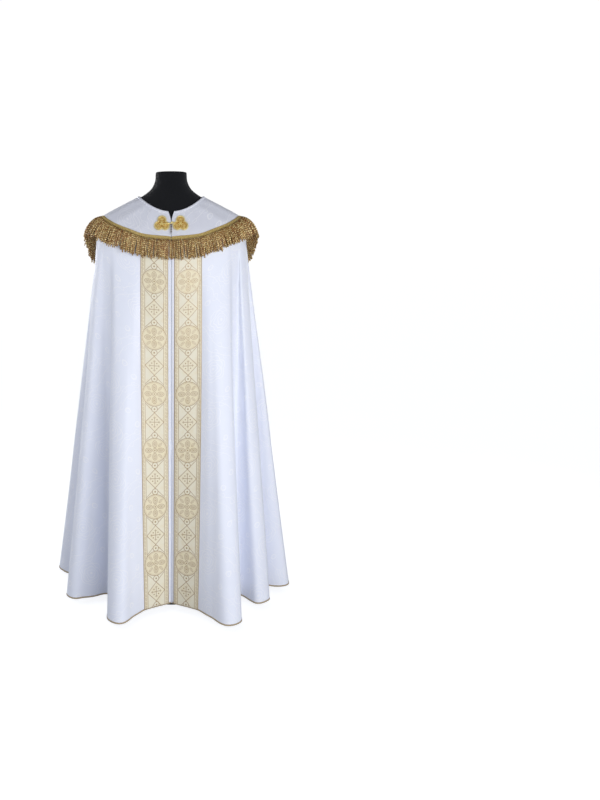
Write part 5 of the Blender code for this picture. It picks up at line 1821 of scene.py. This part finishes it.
def make_stand(enamel):
    """A weighted base with a rolled edge, a collar with its screw, and the upright tube."""
    top, edge = BASE_THICKNESS, BASE_RADIUS
    rolled = circle(np.linspace(0, pi / 2, 6))[:, ::-1]
    rolled = (edge, top) + 0.004 * (rolled - 1)
    base = Shape()
    turned(base, [(0, top + 0.0002), (0.03, top + 0.0002), (0.09, top - 0.0008), *rolled,
                  (edge, 0.0012), (edge - 0.0012, 0.0), (0, 0.0)])
    base_object = base.make("stand_base_disc", enamel, sharp=50)
    pole = Shape()
    seat = FORM_BODY[-1].z - 0.0003
    turned(pole, [(0, seat), (POLE_RADIUS - 0.001, seat), (POLE_RADIUS, seat - 0.001),
                  (POLE_RADIUS, 0.0145), (POLE_RADIUS - 0.001, 0.0124), (0, 0.0124)], sides=64)
    turned(pole, COLLAR, sides=64)
    tube(pole, [(0, y, SCREW_Z) for y in SCREW_PLACES], SCREW_RADII, 16)
    return base_object, pole.make("stand_tube_and_collar", enamel, sharp=50)


# ---- The room ----

FLOOR_GLOW, FLOOR_SEEN = (70, 71, 74), (238, 239, 241)


def make_floor():
    """A pale floor that looks white where it is seen and throws little light up."""
    tree = Finish("floor_paint", roughness=0.9, emission_strength=1.0)
    glow = tree.dyed(tree.add("ShaderNodeLightPath"), FLOOR_GLOW, FLOOR_SEEN)
    tree.tree.links.new(glow.socket, tree.shader.inputs["Emission Color"])
    finish = tree.paint(tree.dyed(tree.noise(tree.place_on_piece(), 3.0), (150, 152, 156), (158, 160, 163)))
    bpy.ops.mesh.primitive_plane_add(size=60, location=(0, 0, -0.0004))
    floor = bpy.context.object
    floor.name = "floor"
    floor.data.materials.append(finish)


def add_sun(name, direction, strength, spread, colour=(1, 1, 1)):
    """A wide soft light that comes from a direction, with its spread in degrees."""
    lamp = bpy.data.lights.new(name, "SUN")
    lamp.energy, lamp.angle, lamp.color = strength, math.radians(spread), colour
    new_object(name, lamp).rotation_euler = Vector(direction).to_track_quat("Z", "Y").to_euler()


def add_softbox(name, place, strength, size):
    """A square lamp turned towards the middle of the cape."""
    lamp = bpy.data.lights.new(name, "AREA")
    lamp.energy, lamp.size = strength, size
    obj = new_object(name, lamp)
    obj.location = place
    obj.rotation_euler = (Vector(place) - Vector((0, 0, 1.0))).to_track_quat("Z", "Y").to_euler()
    obj.visible_camera = False


def make_world():
    """A pale room: near white round the walls, dimmer overhead, and white where it is seen."""
    world = bpy.data.worlds.new("studio")
    world.use_nodes = True
    tree = Tree(world.node_tree)
    _, _, rise = tree.separate(tree.add("ShaderNodeTexCoord"))
    seen = tree.add("ShaderNodeLightPath")
    shown = 0.66 - tree.fade(rise, 0.0, 0.9) * 0.52
    strength = seen * 1.02 + (1.0 - seen) * shown
    colour = tree.blend(seen, (0.89, 0.92, 1.0, 1.0), (1, 1, 1, 1))
    background = world.node_tree.nodes["Background"]
    world.node_tree.links.new(colour.socket, background.inputs["Color"])
    world.node_tree.links.new(strength.socket, background.inputs["Strength"])
    bpy.context.scene.world = world


def make_room():
    """Soft studio light from all round, most of it from the wearer's left, on a pale floor."""
    make_floor()
    make_world()
    add_sun("key_light", (0.95, -1.0, 0.12), 1.26, 28)
    add_sun("fill_light", (-1.0, -0.8, 0.05), 0.23, 60, (0.8, 0.87, 1.0))
    add_sun("back_light", (-0.8, 1.0, 0.2), 1.25, 28)
    add_softbox("front_softbox", (0.6, -2.1, 0.85), 16, 1.2)
    add_softbox("side_softbox", (-1.8, -0.5, 1.4), 9, 1.0)
    add_softbox("back_softbox", (0.9, 2.0, 1.1), 15, 1.2)
    bpy.context.scene.view_settings.view_transform = "Standard"


def make_camera():
    """A level camera as high as the shoulders, its view shifted down and off the garment."""
    camera = bpy.data.cameras.new("camera")
    camera.lens, camera.shift_x, camera.shift_y = 34.6, 0.161, -0.206
    obj = new_object("camera", camera)
    obj.location, obj.rotation_euler = (0, -2.77, 1.267), (pi / 2, 0, 0)
    bpy.context.scene.camera = obj


# ---- The whole ----


def stand_for(piece, slot, *nodes):
    """Every piece rides on the garment's one body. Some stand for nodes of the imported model."""
    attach(piece, "root")
    if nodes:
        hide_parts(*nodes)
    return piece


def dress_the_form():
    """Make every piece of the garment and of its form, from the mantle out to the clasp."""
    damask, lining = make_damask("white_damask", MANTLE_WHITES), make_lining()
    # The hood and its neck binding are of the same damask, painted greyer there as painted shade.
    hood_damask_painted_shade = make_damask("hood_damask_painted_shade", HOOD_PAINTED_SHADE_WHITES)
    mantle_rows = mantle_grid()
    cut = cut_map(mantle_rows, MANTLE_NECK_RADIUS)
    mantle = stand_for(make_mantle(mantle_rows, cut, damask, lining), "damask", "mantle")
    front_galloon = make_galloon("galloon_front", 0.142)
    for side in ("right", "left"):
        orphrey = make_orphrey(mantle_rows, side, front_galloon)
        stand_for(orphrey, "galloon", f"orphrey_front_{side}")
    stand_for(make_hem_braid(mantle_rows, make_braid()), "hem_braid", "hem_braid")

    hood, hood_rows = make_hood(hood_damask_painted_shade)
    stand_for(hood, "damask", "hood")
    upright = make_vertical_band(make_galloon("galloon_upright", 0.0835))
    level = make_level_band(make_galloon("galloon_level", 0.19))
    on_hood_pieces = [
        stand_for(make_neck_binding(hood_rows, hood_damask_painted_shade), "damask"),
        stand_for(upright, "galloon", "hood_band_vertical"),
        stand_for(level, "galloon", "hood_band_right", "hood_band_left"),
        stand_for(make_emblem_ground(make_beige_satin()), "emblem_cloth", "emblem_ground"),
    ]
    dark = make_thread_satin("outline_thread", OUTLINE_GOLDS, 0.44)
    gold = make_thread_satin("bright_gold_thread", BRIGHT_GOLDS)
    light = make_thread_satin("light_thread", PALE_GOLDS, 0.4, 0.15)
    border = make_emblem_border(gold, dark)
    cross = make_emblem_cross(dark, gold, light)
    on_hood_pieces.append(stand_for(border, "gold_thread", "emblem_border"))
    on_hood_pieces.append(stand_for(cross, "gold_thread", "emblem_cross"))

    group = growth_tree()
    strand = hanging_model("strand", STRAND_WIDTHS, sides=5, flat=0.85, turns=3.0,
                           run=STRAND_DROP, foot=0.02)
    stitch = hanging_model("stitch", (0, 0.8, 1, 0.8, 0), sides=4, flat=0.8, run=0.003)
    bead = hanging_model("bead", (0, 0.71, 1, 0.71, 0), sides=8, run=0.002)
    link = link_model()
    thread, heading = make_fringe_thread(), make_heading()
    for side in ("right", "left"):
        node = f"hood_fringe_{side}"
        band, strands = make_heading_band(side, heading), make_strands(side, group, strand, thread)
        on_hood_pieces.append(stand_for(band, "fringe_thread", node))
        on_hood_pieces.append(stand_for(strands, "fringe_thread", node))
    stitch_thread = make_stitch_thread("cream_sewing_thread", SEWING_CREAM)
    stand_for(make_seams(mantle_rows, group, stitch, stitch_thread), "damask")
    on_hood_pieces.append(stand_for(make_band_seams(group, stitch, stitch_thread), "damask"))

    # The plate's darker gold is painted shade between the filigree wires.
    plate = make_gilt("gilt_plate_painted_shade", PLATE_PAINTED_SHADE_GILTS, 0.6)
    gilt = make_gilt("gilt_wire", WIRE_GILTS, 0.45)
    for side in ("right", "left"):
        for piece in make_clasp_half(side, group, bead, plate, gilt):
            stand_for(piece, "gilt_metal", f"clasp_{side}")
    stand_for(make_hook(gilt), "gilt_metal", "clasp_hook")
    chain = make_chain(group, link, make_gilt("chain_metal", CHAIN_BROWNS, 0.8))
    stand_for(chain, "gilt_metal", "clasp_chain")

    form = stand_for(make_form(make_jersey()), "black_jersey", "dress_form")
    base, pole = make_stand(make_stand_enamel())
    stand_for(base, "stand_metal", "stand_base")
    stand_for(pole, "stand_metal", "stand_pole")
    for model in (strand, stitch, bead, link):
        bpy.data.objects.remove(model, do_unlink=True)


make_room()
make_camera()
dress_the_form()
